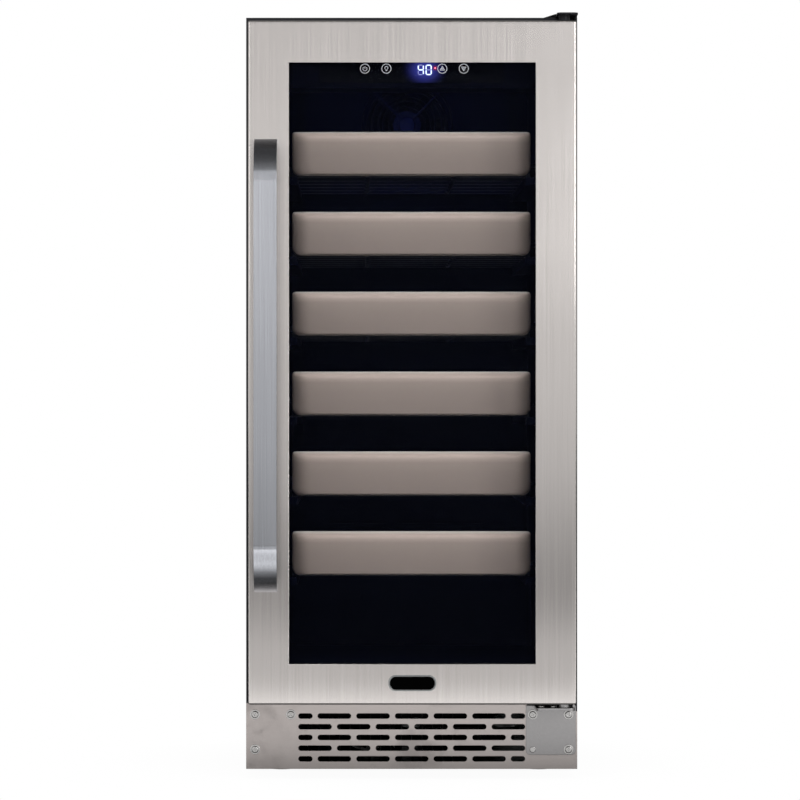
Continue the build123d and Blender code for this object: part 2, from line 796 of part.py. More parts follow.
with BuildPart() as compressor:
    with BuildSketch(Plane.XZ.offset(-compressor_y)):
        foot_z = base_floor + grommet_height
        with BuildLine():
            Polyline((compressor_x, foot_z + 2), (compressor_x + 30, foot_z + 2))
            ThreePointArc(
                (compressor_x + 30, foot_z + 2),
                (compressor_x + 46, foot_z + 9),
                (compressor_x + compressor_radius, foot_z + 24),
            )
            Line((compressor_x + compressor_radius, foot_z + 24),
                 (compressor_x + compressor_radius, foot_z + compressor_height - 26))
            ThreePointArc(
                (compressor_x + compressor_radius, foot_z + compressor_height - 26),
                (compressor_x + 41, foot_z + compressor_height - 10.5),
                (compressor_x + 20, foot_z + compressor_height),
            )
            Polyline(
                (compressor_x + 20, foot_z + compressor_height),
                (compressor_x, foot_z + compressor_height),
                (compressor_x, foot_z + 2),
            )
        make_face()
    revolve(axis=Axis((compressor_x, compressor_y, 0), (0, 0, 1)))
    with BuildSketch(Plane.XY.offset(foot_z)):
        with Locations((compressor_x, compressor_y)):
            RectangleRounded(2 * plate_half_x, 2 * plate_half_y, 10)
    extrude(amount=3)
    # relay box on the side
    block((compressor_x - compressor_radius - relay_reach, compressor_x - compressor_radius + 8),
          (compressor_y - relay_half_width, compressor_y + relay_half_width),
          (foot_z + relay_bottom, foot_z + relay_top))
finish(compressor, "compressor")

with BuildPart() as compressor_grommets:
    with BuildSketch(Plane.XY.offset(base_floor)):
        with Locations((compressor_x, compressor_y)):
            with GridLocations(2 * plate_half_x - 20, 2 * plate_half_y - 20, 2, 2):
                Circle(grommet_radius)
    extrude(amount=grommet_height)
finish(compressor_grommets, "compressor_grommets")

with BuildPart() as drain_pan:
    pan_bottom = base_floor + grommet_height + compressor_height
    block((compressor_x - pan_half_x, compressor_x + pan_half_x),
          (compressor_y - pan_half_y, compressor_y + pan_half_y), (pan_bottom, pan_bottom + pan_depth))
    block((compressor_x - pan_half_x + pan_wall, compressor_x + pan_half_x - pan_wall),
          (compressor_y - pan_half_y + pan_wall, compressor_y + pan_half_y - pan_wall),
          (pan_bottom + pan_wall, pan_bottom + pan_depth), Mode.SUBTRACT)
finish(drain_pan, "drain_pan")

with BuildPart() as condenser_coil:
    fin_pitch = (coil_right - coil_left) / (fin_count - 1)
    with Locations(((coil_left + coil_right) / 2, (coil_front + coil_back) / 2, (base_floor + coil_top) / 2)):
        with GridLocations(fin_pitch, 10, fin_count, 1):
            Box(fin_thickness, coil_back - coil_front, coil_top - base_floor)
    # two flat serpentine tubes through the fins
    for z in (base_floor + 22, coil_top - 20):
        rows = [coil_front + 16 + n * (coil_back - coil_front - 32) / 3 for n in range(4)]
        corners = []
        for n, y in enumerate(rows):
            ends = (coil_right + 12, coil_left - 12) if n % 2 == 0 else (coil_left - 12, coil_right + 12)
            corners += [(x, y, z) for x in ends]
        with BuildLine() as loop:
            FilletPolyline(*corners, radius=(rows[1] - rows[0]) * 0.42)
        with BuildSketch(Plane(origin=loop.line @ 0, z_dir=loop.line % 0)):
            Circle(coil_tube)
        sweep(path=loop.line)
finish(condenser_coil, "condenser_coil")

condenser_fan_z = base_floor + condenser_fan_size / 2
condenser_plane = Plane(origin=(condenser_fan_x, condenser_fan_y, condenser_fan_z), x_dir=(1, 0, 0), z_dir=(0, 1, 0))
condenser_fan_frame = fan_frame(condenser_plane, condenser_fan_size, condenser_fan_bore, condenser_fan_hub)
finish(condenser_fan_frame, "condenser_fan_frame")
condenser_fan_rotor = fan_rotor(condenser_plane, condenser_fan_bore, condenser_fan_hub)
finish(condenser_fan_rotor, "condenser_fan_rotor")

drier_bottom = coil_top - 20 + drier_rise
with BuildPart() as filter_drier:
    with BuildSketch(Plane.XZ.offset(-line_y)):
        with BuildLine():
            Polyline(
                (-line_x, drier_bottom),
                (-line_x + line_radius, drier_bottom),
                (-line_x + drier_radius, drier_bottom + 12),
                (-line_x + drier_radius, drier_bottom + drier_length - 12),
                (-line_x + line_radius, drier_bottom + drier_length),
                (-line_x, drier_bottom + drier_length),
                close=True,
            )
        make_face()
    revolve(axis=Axis((-line_x, line_y, 0), (0, 0, 1)))
finish(filter_drier, "filter_drier")


def pipe(points, radius):
    with BuildPart() as piece:
        with BuildLine() as route:
            FilletPolyline(*points, radius=12)
        with BuildSketch(Plane(origin=route.line @ 0, z_dir=route.line % 0)):
            Circle(radius)
        sweep(path=route.line)
    return piece.part


plate_back = evaporator_y + evaporator_sheet
coil_row_front = coil_front + 16
coil_row_back = coil_back - 16
tube_end_x = coil_right + 12
discharge_z = base_floor + 22
outlet_z = coil_top - 20
dome_z = base_floor + grommet_height + 70
suction_line = pipe([
    (line_x, plate_back, line_port_z),
    (line_x, line_y, line_port_z),
    (line_x, line_y, deck_top_height - 12),
    (compressor_x + compressor_radius + 22, line_y, deck_top_height - 12),
    (compressor_x + compressor_radius + 22, line_y, dome_z),
    (compressor_x + compressor_radius + 22, compressor_y, dome_z),
    (compressor_x + compressor_radius, compressor_y, dome_z),
], line_radius)
link_x = tube_end_x + 20
link_line = pipe([
    (tube_end_x, coil_row_front, discharge_z),
    (link_x, coil_row_front, discharge_z),
    (link_x, coil_row_front, outlet_z),
    (tube_end_x, coil_row_front, outlet_z),
], line_radius)
discharge_x = tube_end_x + 30
discharge_line = pipe([
    (compressor_x, compressor_y - compressor_radius, discharge_z + 30),
    (compressor_x, 100, discharge_z + 30),
    (discharge_x, 100, discharge_z + 30),
    (discharge_x, coil_row_back, discharge_z + 30),
    (discharge_x, coil_row_back, discharge_z),
    (tube_end_x, coil_row_back, discharge_z),
], line_radius)
liquid_line = pipe([
    (tube_end_x, coil_row_back, outlet_z),
    (tube_end_x + 17, coil_row_back, outlet_z),
    (tube_end_x + 17, 40, outlet_z),
    (-line_x, 40, outlet_z),
    (-line_x, line_y, outlet_z),
    (-line_x, line_y, drier_bottom),
], line_radius)
feed_line = pipe([
    (-line_x, line_y, drier_bottom + drier_length),
    (-line_x, line_y, line_port_z),
    (-line_x, plate_back, line_port_z),
], line_radius)

with BuildPart() as refrigerant_lines:
    add([suction_line, link_line, discharge_line, liquid_line, feed_line])
finish(refrigerant_lines, "refrigerant_lines")

with BuildPart() as mains_gland:
    gland_inner = panel_back - gland_length / 2
    with BuildSketch(Plane.XZ.offset(-gland_inner)):
        with Locations((gland_x, gland_z)):
            Circle(gland_radius)
    extrude(amount=-gland_length)
    with BuildSketch(Plane.XZ.offset(-panel_back)):
        with Locations((gland_x, gland_z)):
            Circle(gland_flange)
    extrude(amount=-3)
    with BuildSketch(Plane.XZ.offset(-gland_inner)):
        with Locations((gland_x, gland_z)):
            Circle(gland_bore)
    extrude(amount=-gland_length, mode=Mode.SUBTRACT)
finish(mains_gland, "mains_gland")

# ---- feet ----

for name, x, y in (
    ("foot_front_left", -foot_x, foot_front_y),
    ("foot_front_right", foot_x, foot_front_y),
    ("foot_back_left", -foot_x, foot_back_y),
    ("foot_back_right", foot_x, foot_back_y),
):
    with BuildPart() as foot:
        with BuildSketch(Plane(origin=(x, y, 0))):
            Circle(foot_radius)
        extrude(amount=foot_pad)
        with BuildSketch(Plane(origin=(x, y, foot_pad))):
            RegularPolygon(nut_radius, 6)
        extrude(amount=base_height - foot_clearance - foot_pad)
        with BuildSketch(Plane(origin=(x, y, 0))):
            Circle(foot_stem)
        extrude(amount=foot_stem_top)
    finish(foot, name)

# ---- door ----

door_middle_z = (door_bottom + door_top) / 2
door_height = door_top - door_bottom
window_middle_z = (window_bottom + window_top) / 2
window_height = window_top - window_bottom
window_width = 2 * window_half_width
door_plane = Plane.XZ.offset(-door_front)

with BuildPart() as door_skin:
    with BuildSketch(door_plane):
        with Locations((0, door_middle_z)):
            Rectangle(door_width, door_height)
    extrude(amount=-door_skin_depth)
    fillet(door_skin.edges().group_by(Axis.Y)[0], radius=skin_corner)
    with BuildSketch(door_plane.offset(-skin)):
        with Locations((0, door_middle_z)):
            Rectangle(door_width - 2 * skin, door_height - 2 * skin)
    extrude(amount=-door_skin_depth, mode=Mode.SUBTRACT)
    # turned-in edge round the window
    with BuildSketch(door_plane):
        with Locations((0, window_middle_z)):
            Rectangle(window_width + 2 * skin, window_height + 2 * skin)
    extrude(amount=-window_lip)
    with BuildSketch(door_plane):
        with Locations((0, window_middle_z)):
            Rectangle(window_width, window_height)
    extrude(amount=-door_skin_depth, mode=Mode.SUBTRACT)
    # bushes of the hinge, top and bottom
    with Locations((pivot_x, pivot_y, door_bottom), (pivot_x, pivot_y, door_top)):
        Cylinder(bush_radius, 4 * skin, mode=Mode.SUBTRACT)
    # handle screws
    with BuildSketch(door_plane):
        with Locations((handle_x, (handle_bottom + handle_top) / 2)):
            with GridLocations(10, handle_top - handle_bottom - 2 * handle_screw_inset, 1, 2):
                Circle(2.2)
    extrude(amount=-skin, mode=Mode.SUBTRACT)
finish(door_skin, "door_skin")

with BuildPart() as door_core:
    with BuildSketch(door_plane.offset(-skin)):
        with Locations((0, door_middle_z)):
            Rectangle(door_width - 2 * skin, door_height - 2 * skin)
    extrude(amount=-(door_thickness - skin))
    with BuildSketch(Plane.XZ.offset(-skin_back)):
        with Locations((0, door_middle_z)):
            Rectangle(door_width, door_height)
    extrude(amount=-(door_back - skin_back))
    # opening, and the pocket that holds the double glazing
    with BuildSketch(door_plane):
        with Locations((0, window_middle_z)):
            Rectangle(window_width + 2 * rear_reveal, window_height + 2 * rear_reveal)
    extrude(amount=-door_thickness, mode=Mode.SUBTRACT)
    with BuildSketch(door_plane):
        with Locations((0, window_middle_z)):
            Rectangle(window_width + 2 * glass_cover, window_height + 2 * glass_cover)
    extrude(amount=-(pane_back - door_front), mode=Mode.SUBTRACT)
    # groove for the gasket's dart
    with BuildSketch(Plane.XZ.offset(-door_back)):
        with Locations((0, (gasket_outer_bottom + gasket_outer_top) / 2)):
            Rectangle(2 * gasket_outer_x - gasket_width + gasket_rib,
                      gasket_outer_top - gasket_outer_bottom - gasket_width + gasket_rib)
            Rectangle(2 * gasket_outer_x - gasket_width - gasket_rib,
                      gasket_outer_top - gasket_outer_bottom - gasket_width - gasket_rib, mode=Mode.SUBTRACT)
    extrude(amount=gasket_rib_depth, mode=Mode.SUBTRACT)
    # hinge bushes
    for low, high in ((door_bottom, door_bottom + bush_length), (door_top - bush_length, door_top)):
        with BuildSketch(Plane.XY.offset(low)):
            with Locations((pivot_x, pivot_y)):
                Circle(bush_radius)
        extrude(amount=high - low, mode=Mode.SUBTRACT)
    # pockets for the handle screws' heads
    with BuildSketch(door_plane.offset(-skin)):
        with Locations((handle_x, (handle_bottom + handle_top) / 2)):
            with GridLocations(10, handle_top - handle_bottom - 2 * handle_screw_inset, 1, 2):
                Circle(5.5)
    extrude(amount=-6, mode=Mode.SUBTRACT)
finish(door_core, "door_core")


def pane(front, thickness, name, ring=0.0):
    with BuildPart() as piece:
        with BuildSketch(Plane.XZ.offset(-front)):
            with Locations((0, window_middle_z)):
                Rectangle(window_width + 2 * glass_cover, window_height + 2 * glass_cover)
                if ring:
                    Rectangle(window_width + 2 * (glass_cover - ring), window_height + 2 * (glass_cover - ring),
                              mode=Mode.SUBTRACT)
        extrude(amount=-thickness)
    finish(piece, name)


pane(pane_front, glass, "outer_glass")
pane(pane_front + glass, pane_gap, "glass_spacer", ring=glass_cover - 1.5)
pane(pane_front + glass + pane_gap, glass, "inner_glass")

with BuildPart() as door_gasket:
    gasket_height = gasket_outer_top - gasket_outer_bottom
    with BuildSketch(Plane.XZ.offset(-door_back)):
        with Locations((0, (gasket_outer_bottom + gasket_outer_top) / 2)):
            Rectangle(2 * gasket_outer_x, gasket_height)
            Rectangle(2 * (gasket_outer_x - gasket_width), gasket_height - 2 * gasket_width, mode=Mode.SUBTRACT)
    extrude(amount=-gasket_depth)
    with BuildSketch(Plane.XZ.offset(-door_back)):
        with Locations((0, (gasket_outer_bottom + gasket_outer_top) / 2)):
            Rectangle(2 * gasket_outer_x - gasket_width + gasket_rib, gasket_height - gasket_width + gasket_rib)
            Rectangle(2 * gasket_outer_x - gasket_width - gasket_rib, gasket_height - gasket_width - gasket_rib,
                      mode=Mode.SUBTRACT)
    extrude(amount=gasket_rib_depth)
finish(door_gasket, "door_gasket")

with BuildPart() as door_bushes:
    for low in (door_bottom, door_top - bush_length):
        with BuildSketch(Plane.XY.offset(low)):
            with Locations((pivot_x, pivot_y)):
                Circle(bush_radius)
                Circle(pin_radius + pin_clearance, mode=Mode.SUBTRACT)
        extrude(amount=bush_length)
finish(door_bushes, "door_bushes")

# the bar's bends start where its radius leaves it this much taller than at the door
bend_rise = handle_bend - sqrt(handle_bend**2 - (handle_bend - handle_reach) ** 2)

with BuildPart() as handle_bar:
    bar_middle = ((handle_front + door_back) / 2, (handle_bottom + handle_top) / 2)
    bar_depth = door_back - handle_front
    bar_height = handle_top - handle_bottom + 2 * bend_rise
    with BuildSketch(Plane.YZ.offset(handle_x - handle_width / 2)):
        with Locations(bar_middle):
            outer = Rectangle(bar_depth, bar_height)
        fillet(outer.vertices().group_by(Axis.X)[0], radius=handle_bend)
        with BuildSketch(Plane.YZ.offset(handle_x - handle_width / 2), mode=Mode.SUBTRACT):
            with Locations((bar_middle[0] + handle_thickness, bar_middle[1])):
                inner = Rectangle(bar_depth, bar_height - 2 * handle_thickness)
            fillet(inner.vertices().group_by(Axis.X)[0], radius=handle_bend - handle_thickness)
    extrude(amount=handle_width)
    block((handle_x - handle_width, handle_x + handle_width), (door_front, door_front + 100),
          (handle_bottom - 50, handle_top + 50), Mode.SUBTRACT)
    with BuildSketch(door_plane):
        with Locations((handle_x, (handle_bottom + handle_top) / 2)):
            with GridLocations(10, handle_top - handle_bottom - 2 * handle_screw_inset, 1, 2):
                Circle(2.0)
    extrude(amount=5, mode=Mode.SUBTRACT)
finish(handle_bar, "handle_bar")

handle_screw = screw(4.5, 3.0, 2.0, 5.0 + skin)
with BuildPart() as handle_screws:
    with Locations(Plane(origin=(handle_x, door_front + skin, (handle_bottom + handle_top) / 2), x_dir=(1, 0, 0), z_dir=(0, 1, 0))):
        with GridLocations(10, handle_top - handle_bottom - 2 * handle_screw_inset, 1, 2):
            add(handle_screw)
finish(handle_screws, "handle_screws")

with BuildPart() as badge_plate:
    with BuildSketch(door_plane):
        with Locations((0, badge_z)):
            RectangleRounded(badge_width, badge_height, badge_height / 2 - 0.6)
    extrude(amount=badge_thickness)
    with BuildSketch(door_plane.offset(badge_thickness)):
        with Locations((0, badge_z)):
            RectangleRounded(badge_width - 2 * badge_rim, badge_height - 2 * badge_rim, badge_height / 2 - 0.6 - badge_rim)
    extrude(amount=-0.4, mode=Mode.SUBTRACT)
finish(badge_plate, "badge_plate")

# ---- shelves ----

for number, bottom in enumerate(shelf_bottoms, start=1):
    with BuildPart() as trim:
        # three outlines crossed: from the front, from the side and from above
        with BuildSketch(Plane.XZ.offset(-trim_back)) as face:
            with Locations((0, bottom + trim_height / 2)):
                Rectangle(2 * trim_half_width, trim_height)
            fillet(face.vertices().group_by(Axis.Y)[0], radius=9)
            fillet(face.vertices().group_by(Axis.Y)[-1], radius=4)
        extrude(amount=trim_thickness)
        with BuildSketch(Plane.YZ.offset(-trim_half_width)) as profile:
            with Locations(((trim_front + trim_back) / 2, bottom + trim_height / 2)):
                Rectangle(trim_thickness, trim_height)
            fillet(profile.vertices().group_by(Axis.X)[0].sort_by(Axis.Y)[-1], radius=10)
            fillet(profile.vertices().group_by(Axis.X)[0].sort_by(Axis.Y)[0], radius=6)
        extrude(amount=2 * trim_half_width, mode=Mode.INTERSECT)
        with BuildSketch(Plane.XY.offset(bottom)):
            with Locations((0, (trim_front + trim_back) / 2)):
                plan = Rectangle(2 * trim_half_width, trim_thickness)
            fillet(plan.vertices().group_by(Axis.Y)[0], radius=7)
        extrude(amount=trim_height, mode=Mode.INTERSECT)
        # folded sheet, open at the back
        block(span(trim_half_width - 3 * trim_wall), (trim_front + trim_wall, trim_back),
              (bottom + 2 * trim_wall, bottom + trim_height - 3 * trim_wall), Mode.SUBTRACT)
    finish(trim, f"shelf_{number}_trim")

    with BuildPart() as rack:
        for side in (-1, 1):
            rail = sorted((side * rail_inner, side * rail_outer))
            block(rail, (trim_back, rack_back), (bottom + rail_low, bottom + rail_low + rail_height))
        slat_step = (rack_back - trim_back - slat_thickness) / (slat_count - 1)
        for n in range(slat_count):
            with BuildSketch(Plane.XZ.offset(-(trim_back + n * slat_step))):
                with Locations((0, bottom + (rail_low + slat_top) / 2)):
                    Rectangle(2 * rail_inner, slat_top - rail_low)
                with Locations((0, bottom + scallop_floor + bottle_radius)):
                    with GridLocations(bottle_pitch, 10, 3, 1):
                        Circle(bottle_radius, mode=Mode.SUBTRACT)
            extrude(amount=-slat_thickness)
        with BuildSketch(Plane.XZ.offset(-trim_back)):
            with Locations((0, bottom + rail_low + stiffener_radius)):
                with GridLocations(bottle_pitch, 10, 2, 1):
                    Circle(stiffener_radius)
        extrude(amount=-(rack_back - trim_back))
    finish(rack, f"shelf_{number}_rack")
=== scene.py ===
import bpy
import json
import math
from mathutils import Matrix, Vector


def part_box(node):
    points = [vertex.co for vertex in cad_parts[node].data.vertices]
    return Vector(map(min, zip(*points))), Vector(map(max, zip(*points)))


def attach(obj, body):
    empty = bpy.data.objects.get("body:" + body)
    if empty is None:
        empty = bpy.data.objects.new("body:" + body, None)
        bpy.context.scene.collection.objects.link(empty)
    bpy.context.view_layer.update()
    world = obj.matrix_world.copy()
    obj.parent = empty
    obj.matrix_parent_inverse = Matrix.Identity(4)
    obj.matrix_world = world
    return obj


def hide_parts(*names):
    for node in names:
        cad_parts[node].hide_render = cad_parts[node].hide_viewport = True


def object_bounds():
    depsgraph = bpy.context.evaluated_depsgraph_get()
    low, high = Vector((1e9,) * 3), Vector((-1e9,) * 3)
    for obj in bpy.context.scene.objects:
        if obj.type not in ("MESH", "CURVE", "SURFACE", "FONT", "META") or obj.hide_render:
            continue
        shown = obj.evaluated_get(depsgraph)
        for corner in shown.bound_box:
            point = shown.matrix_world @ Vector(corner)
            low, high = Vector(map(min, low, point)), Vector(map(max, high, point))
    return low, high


print("loading the frame")
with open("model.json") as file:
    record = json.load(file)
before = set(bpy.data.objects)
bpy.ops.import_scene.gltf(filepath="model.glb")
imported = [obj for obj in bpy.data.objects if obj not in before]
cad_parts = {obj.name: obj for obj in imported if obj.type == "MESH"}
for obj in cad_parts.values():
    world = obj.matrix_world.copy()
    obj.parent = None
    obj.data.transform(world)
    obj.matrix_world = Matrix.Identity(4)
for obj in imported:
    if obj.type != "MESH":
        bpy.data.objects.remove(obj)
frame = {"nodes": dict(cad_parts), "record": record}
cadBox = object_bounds()
nodes = frame["nodes"]


class Value:                        # one output of a shader node, which Python sums and products act on
    def __init__(self, finish, socket):
        self.finish = finish
        self.socket = socket

    def maths(self, operation, other, swapped=False):
        pair = (other, self) if swapped else (self, other)
        return self.finish.node("Math", {"operation": operation}, {0: pair[0], 1: pair[1]})

    def __add__(self, other):
        return self.maths("ADD", other)

    def __sub__(self, other):
        return self.maths("SUBTRACT", other)

    def __rsub__(self, other):
        return self.maths("SUBTRACT", other, swapped=True)

    def __mul__(self, other):
        return self.maths("MULTIPLY", other)

    def __truediv__(self, other):
        return self.maths("DIVIDE", other)

    def __gt__(self, other):
        return self.maths("GREATER_THAN", other)

    def __lt__(self, other):
        return self.maths("LESS_THAN", other)

    __radd__ = __add__
    __rmul__ = __mul__


class Finish:                       # a material or a world, with one method that makes any node
    def __init__(self, name, owner=None):
        self.material = owner or bpy.data.materials.new(name)
        self.material.use_nodes = True
        self.tree = self.material.node_tree
        self.tree.nodes.clear()

    def node(self, kind, settings=None, sockets=None, output=0):
        made = self.tree.nodes.new("ShaderNode" + kind)
        for name, value in (settings or {}).items():
            if name == "stops":
                elements = made.color_ramp.elements
                elements.remove(elements[1])
                elements[0].position, elements[0].color = value[0][0], (*value[0][1], 1)
                for place, colour in value[1:]:
                    elements.new(place).color = (*colour, 1)
            else:
                setattr(made, name, value)
        for name, value in (sockets or {}).items():
            if isinstance(value, Value):
                self.tree.links.new(value.socket, made.inputs[name])
            else:
                made.inputs[name].default_value = value
        return Value(self, made.outputs[output]) if made.outputs else None

    def place(self, scale=(1, 1, 1), centre=(0, 0, 0)):     # object coordinates, in metres, centred and scaled
        coordinates = self.node("TexCoord", output=3)
        shifted = self.node("Mapping", {"vector_type": "TEXTURE"}, {"Vector": coordinates, "Location": centre})
        return self.node("Mapping", None, {"Vector": shifted, "Scale": scale})

    def noise(self, scale, detail=2.0, rough=0.5, stretch=(1, 1, 1)):
        return self.node("TexNoise", None, {
            "Vector": self.place(stretch), "Scale": scale, "Detail": detail, "Roughness": rough})

    def away(self, centre, scale=(1, 1, 1)):                # distance from a place
        return self.node("VectorMath", {"operation": "LENGTH"}, {0: self.place(scale, centre)}, output=1)

    def ease(self, value, low, high, start=0.0, end=1.0):
        return self.node("MapRange", {"interpolation_type": "SMOOTHSTEP"}, {
            "Value": value, "From Min": low, "From Max": high, "To Min": start, "To Max": end})

    def mixColour(self, factor, first, second):
        return self.node("Mix", {"data_type": "RGBA"}, {0: factor, 6: first, 7: second}, output=2)

    def bump(self, height, strength, distance=0.001):
        return self.node("Bump", None, {"Height": height, "Strength": strength, "Distance": distance})

    def surface(self, **sockets):
        names = {name.replace("_", " "): value for name, value in sockets.items()}
        shader = self.node("BsdfPrincipled", None, names)
        self.node("OutputMaterial", None, {"Surface": shader})
        return self.material


def rgb(red, green, blue):
    return (red, green, blue, 1.0)


def shade(colour, amount):
    return rgb(*(min(channel * amount, 1.0) for channel in colour[:3]))


brushed = {
    "along": 7.0,           # grain frequency along the brushing, per metre
    "across": 1500.0,       # and across it
    "cloud": 11.0,          # large soft patches
    "contrast": 0.05,
    "roughness": 0.2,
    "spread": 1.0,          # how much more the shine spreads across the grain
    "scratch": 0.04,
}


def brushedSteel(name, colour, axis=2, roughness=None, contrast=None, about="Z", turn=0.0):
    finish = Finish(name)
    stretch = [brushed["across"]] * 3
    stretch[axis] = brushed["along"]
    fine = finish.noise(1.0, 3.0, 0.6, stretch)
    coarse = finish.noise(1.0, 2.0, 0.5, [value / 3 for value in stretch])
    cloud = finish.noise(brushed["cloud"], 2.0)
    streak = fine * 0.5 + coarse * 0.35 + cloud * 0.15
    spread = brushed["contrast"] if contrast is None else contrast
    base = finish.mixColour(finish.ease(streak, 0.3, 0.7), shade(colour, 1 - spread), shade(colour, 1 + spread))
    dull = (brushed["roughness"] if roughness is None else roughness) + (streak - 0.5) * 0.1
    around = finish.node("Tangent", {"direction_type": "RADIAL", "axis": about})
    return finish.surface(
        Base_Color=base, Metallic=1.0, Roughness=dull, Tangent=around,
        Anisotropic=brushed["spread"], Anisotropic_Rotation=turn,
        Normal=finish.bump(streak, brushed["scratch"], 0.0002))


def stainedSteel(name, colour):                             # thin sheet with faint handling marks
    finish = Finish(name)
    streak = finish.noise(1.0, 3.0, 0.6, (9.0, 900.0, 900.0))
    patch = finish.noise(16.0, 6.0, 0.62)
    spot = finish.noise(75.0, 3.0, 0.7)
    mark = finish.ease(patch, 0.52, 0.72) * 0.6 + finish.ease(spot, 0.62, 0.78) * 0.4
    clean = finish.mixColour(streak, shade(colour, 0.94), shade(colour, 1.06))
    base = finish.mixColour(mark * 0.7, clean, shade(colour, 0.68))
    return finish.surface(
        Base_Color=base, Metallic=1.0, Roughness=0.3 + mark * 0.12 + (streak - 0.5) * 0.1,
        Anisotropic=0.6, Anisotropic_Rotation=0.25, Normal=finish.bump(streak, 0.05, 0.0002))


def enamel(name, colour, roughness=0.32, gloss=0.5):        # sprayed paint with a slight orange peel
    finish = Finish(name)
    peel = finish.noise(420.0, 3.0)
    tone = finish.mixColour(finish.noise(9.0, 4.0), shade(colour, 0.8), shade(colour, 1.25))
    return finish.surface(
        Base_Color=tone, Roughness=roughness + (peel - 0.5) * 0.12, Specular_IOR_Level=gloss,
        Normal=finish.bump(peel, 0.12, 0.0004))


def moulded(name, colour, roughness=0.5, grain=0.15, gloss=0.5):        # moulded plastic with a fine texture
    finish = Finish(name)
    speck = finish.noise(1900.0, 2.0)
    tone = finish.mixColour(finish.noise(14.0, 3.0), shade(colour, 0.85), shade(colour, 1.15))
    return finish.surface(
        Base_Color=tone, Roughness=roughness + (speck - 0.5) * 0.2, Specular_IOR_Level=gloss,
        Normal=finish.bump(speck, grain, 0.0002))


def zincPlate(name, colour):                                # galvanised sheet with its spangle
    finish = Finish(name)
    spangle = finish.node("TexVoronoi", None, {"Vector": finish.place(), "Scale": 95.0}, output=1)
    grey = finish.node("RGBToBW", None, {0: spangle})
    tone = finish.mixColour(grey, shade(colour, 0.8), shade(colour, 1.15))
    return finish.surface(Base_Color=tone, Metallic=0.85, Roughness=0.36 + grey * 0.18)


shelfColourAndPaintedLight = {
    "colour": rgb(0.305, 0.252, 0.225),
    "light": rgb(0.90, 0.88, 0.83),     # painted highlight of the rolled upper edge
    "ends": (0.116, 0.137),             # painted shade: it darkens between these distances from the middle
    "endTone": 0.6,
    # down the front as a share of the pitch, and the brightness there: painted highlight under the upper edge, painted
    # shade lower down
    "steps": ((0.03, 2.0), (0.06, 1.7), (0.09, 1.38), (0.14, 1.02), (0.28, 0.88), (0.5, 0.78)),
}


def satinPaint(name):                   # half matt metallic paint, with a painted highlight along the rolled upper edge of each front and painted shade towards its ends
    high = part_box("shelf_1_trim")[1]
    pitch = high.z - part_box("shelf_2_trim")[1].z
    colour = shelfColourAndPaintedLight["colour"]
    finish = Finish(name)
    grain = finish.noise(1.0, 3.0, 0.6, (12.0, 1400.0, 1400.0))
    flake = finish.noise(2600.0, 1.0)
    height = finish.node("SeparateXYZ", None, {0: finish.place((1, 1, 1), (0, 0, high.z))}, output=2)
    down = finish.node("Math", {"operation": "FRACT"}, {0: height * (-1 / pitch)})
    # painted highlight and shade down each front, lighter under its upper edge
    stops = [(0.0, shelfColourAndPaintedLight["light"][:3])]
    stops += [(place, shade(colour, amount)[:3]) for place, amount in shelfColourAndPaintedLight["steps"]]
    band = finish.node("ValToRGB", {"stops": stops}, {0: down})
    # painted shade towards both ends of each front; the speckle is the paint's own
    ends = finish.ease(finish.away((0, 0, 0), (1, 0, 0)), *shelfColourAndPaintedLight["ends"], 1.0, shelfColourAndPaintedLight["endTone"])
    speckleAndEndShade = ends * (1.0 + (grain * 0.6 + flake * 0.4 - 0.5) * 0.12)
    tone = finish.mixColour(speckleAndEndShade, rgb(0, 0, 0), band)
    return finish.surface(
        Base_Color=tone, Metallic=0.1, Roughness=0.5 + (flake - 0.5) * 0.08,
        Normal=finish.bump(grain, 0.04, 0.0002))


def castMetal(name, colour, metallic=1.0, roughness=0.4, scale=260.0):
    finish = Finish(name)
    cloud = finish.noise(scale, 4.0)
    tone = finish.mixColour(cloud, shade(colour, 0.82), shade(colour, 1.15))
    return finish.surface(
        Base_Color=tone, Metallic=metallic, Roughness=roughness + (cloud - 0.5) * 0.2,
        Normal=finish.bump(cloud, 0.08, 0.0003))


def tube(name, colour):                 # bare copper at the back, turning black towards the front
    finish = Finish(name)
    cloud = finish.noise(260.0, 4.0)
    along = finish.node("SeparateXYZ", None, {0: finish.place()}, output=1)
    bare = finish.ease(along, 0.02, 0.05)
    copper = finish.mixColour(cloud, shade(colour, 0.82), shade(colour, 1.15))
    tone = finish.mixColour(bare, rgb(0.004, 0.004, 0.004), copper)
    return finish.surface(
        Base_Color=tone, Metallic=bare, Roughness=0.5 - bare * 0.2 + (cloud - 0.5) * 0.2,
        Specular_IOR_Level=0.15, Normal=finish.bump(cloud, 0.08, 0.0003))


def clearPane(name, colour, alpha):
    finish = Finish(name)
    haze = finish.noise(7.0, 3.0)
    return finish.surface(
        Base_Color=colour, Roughness=0.02 + haze * 0.03, Alpha=alpha, IOR=1.45, Specular_IOR_Level=0.05)


def glowing(name, colour, strength):
    finish = Finish(name)
    patch = finish.noise(600.0, 2.0)
    tone = finish.mixColour(patch, shade(colour, 0.92), colour)
    return finish.surface(
        Base_Color=shade(colour, 0.3), Roughness=0.3, Emission_Color=tone, Emission_Strength=strength)


def hardFoam(name, colour):
    finish = Finish(name)
    cell = finish.node("TexVoronoi", None, {"Vector": finish.place(), "Scale": 700.0}, output=0)
    tone = finish.mixColour(cell, shade(colour, 0.85), colour)
    return finish.surface(Base_Color=tone, Roughness=0.9, Normal=finish.bump(cell, 0.5, 0.001))


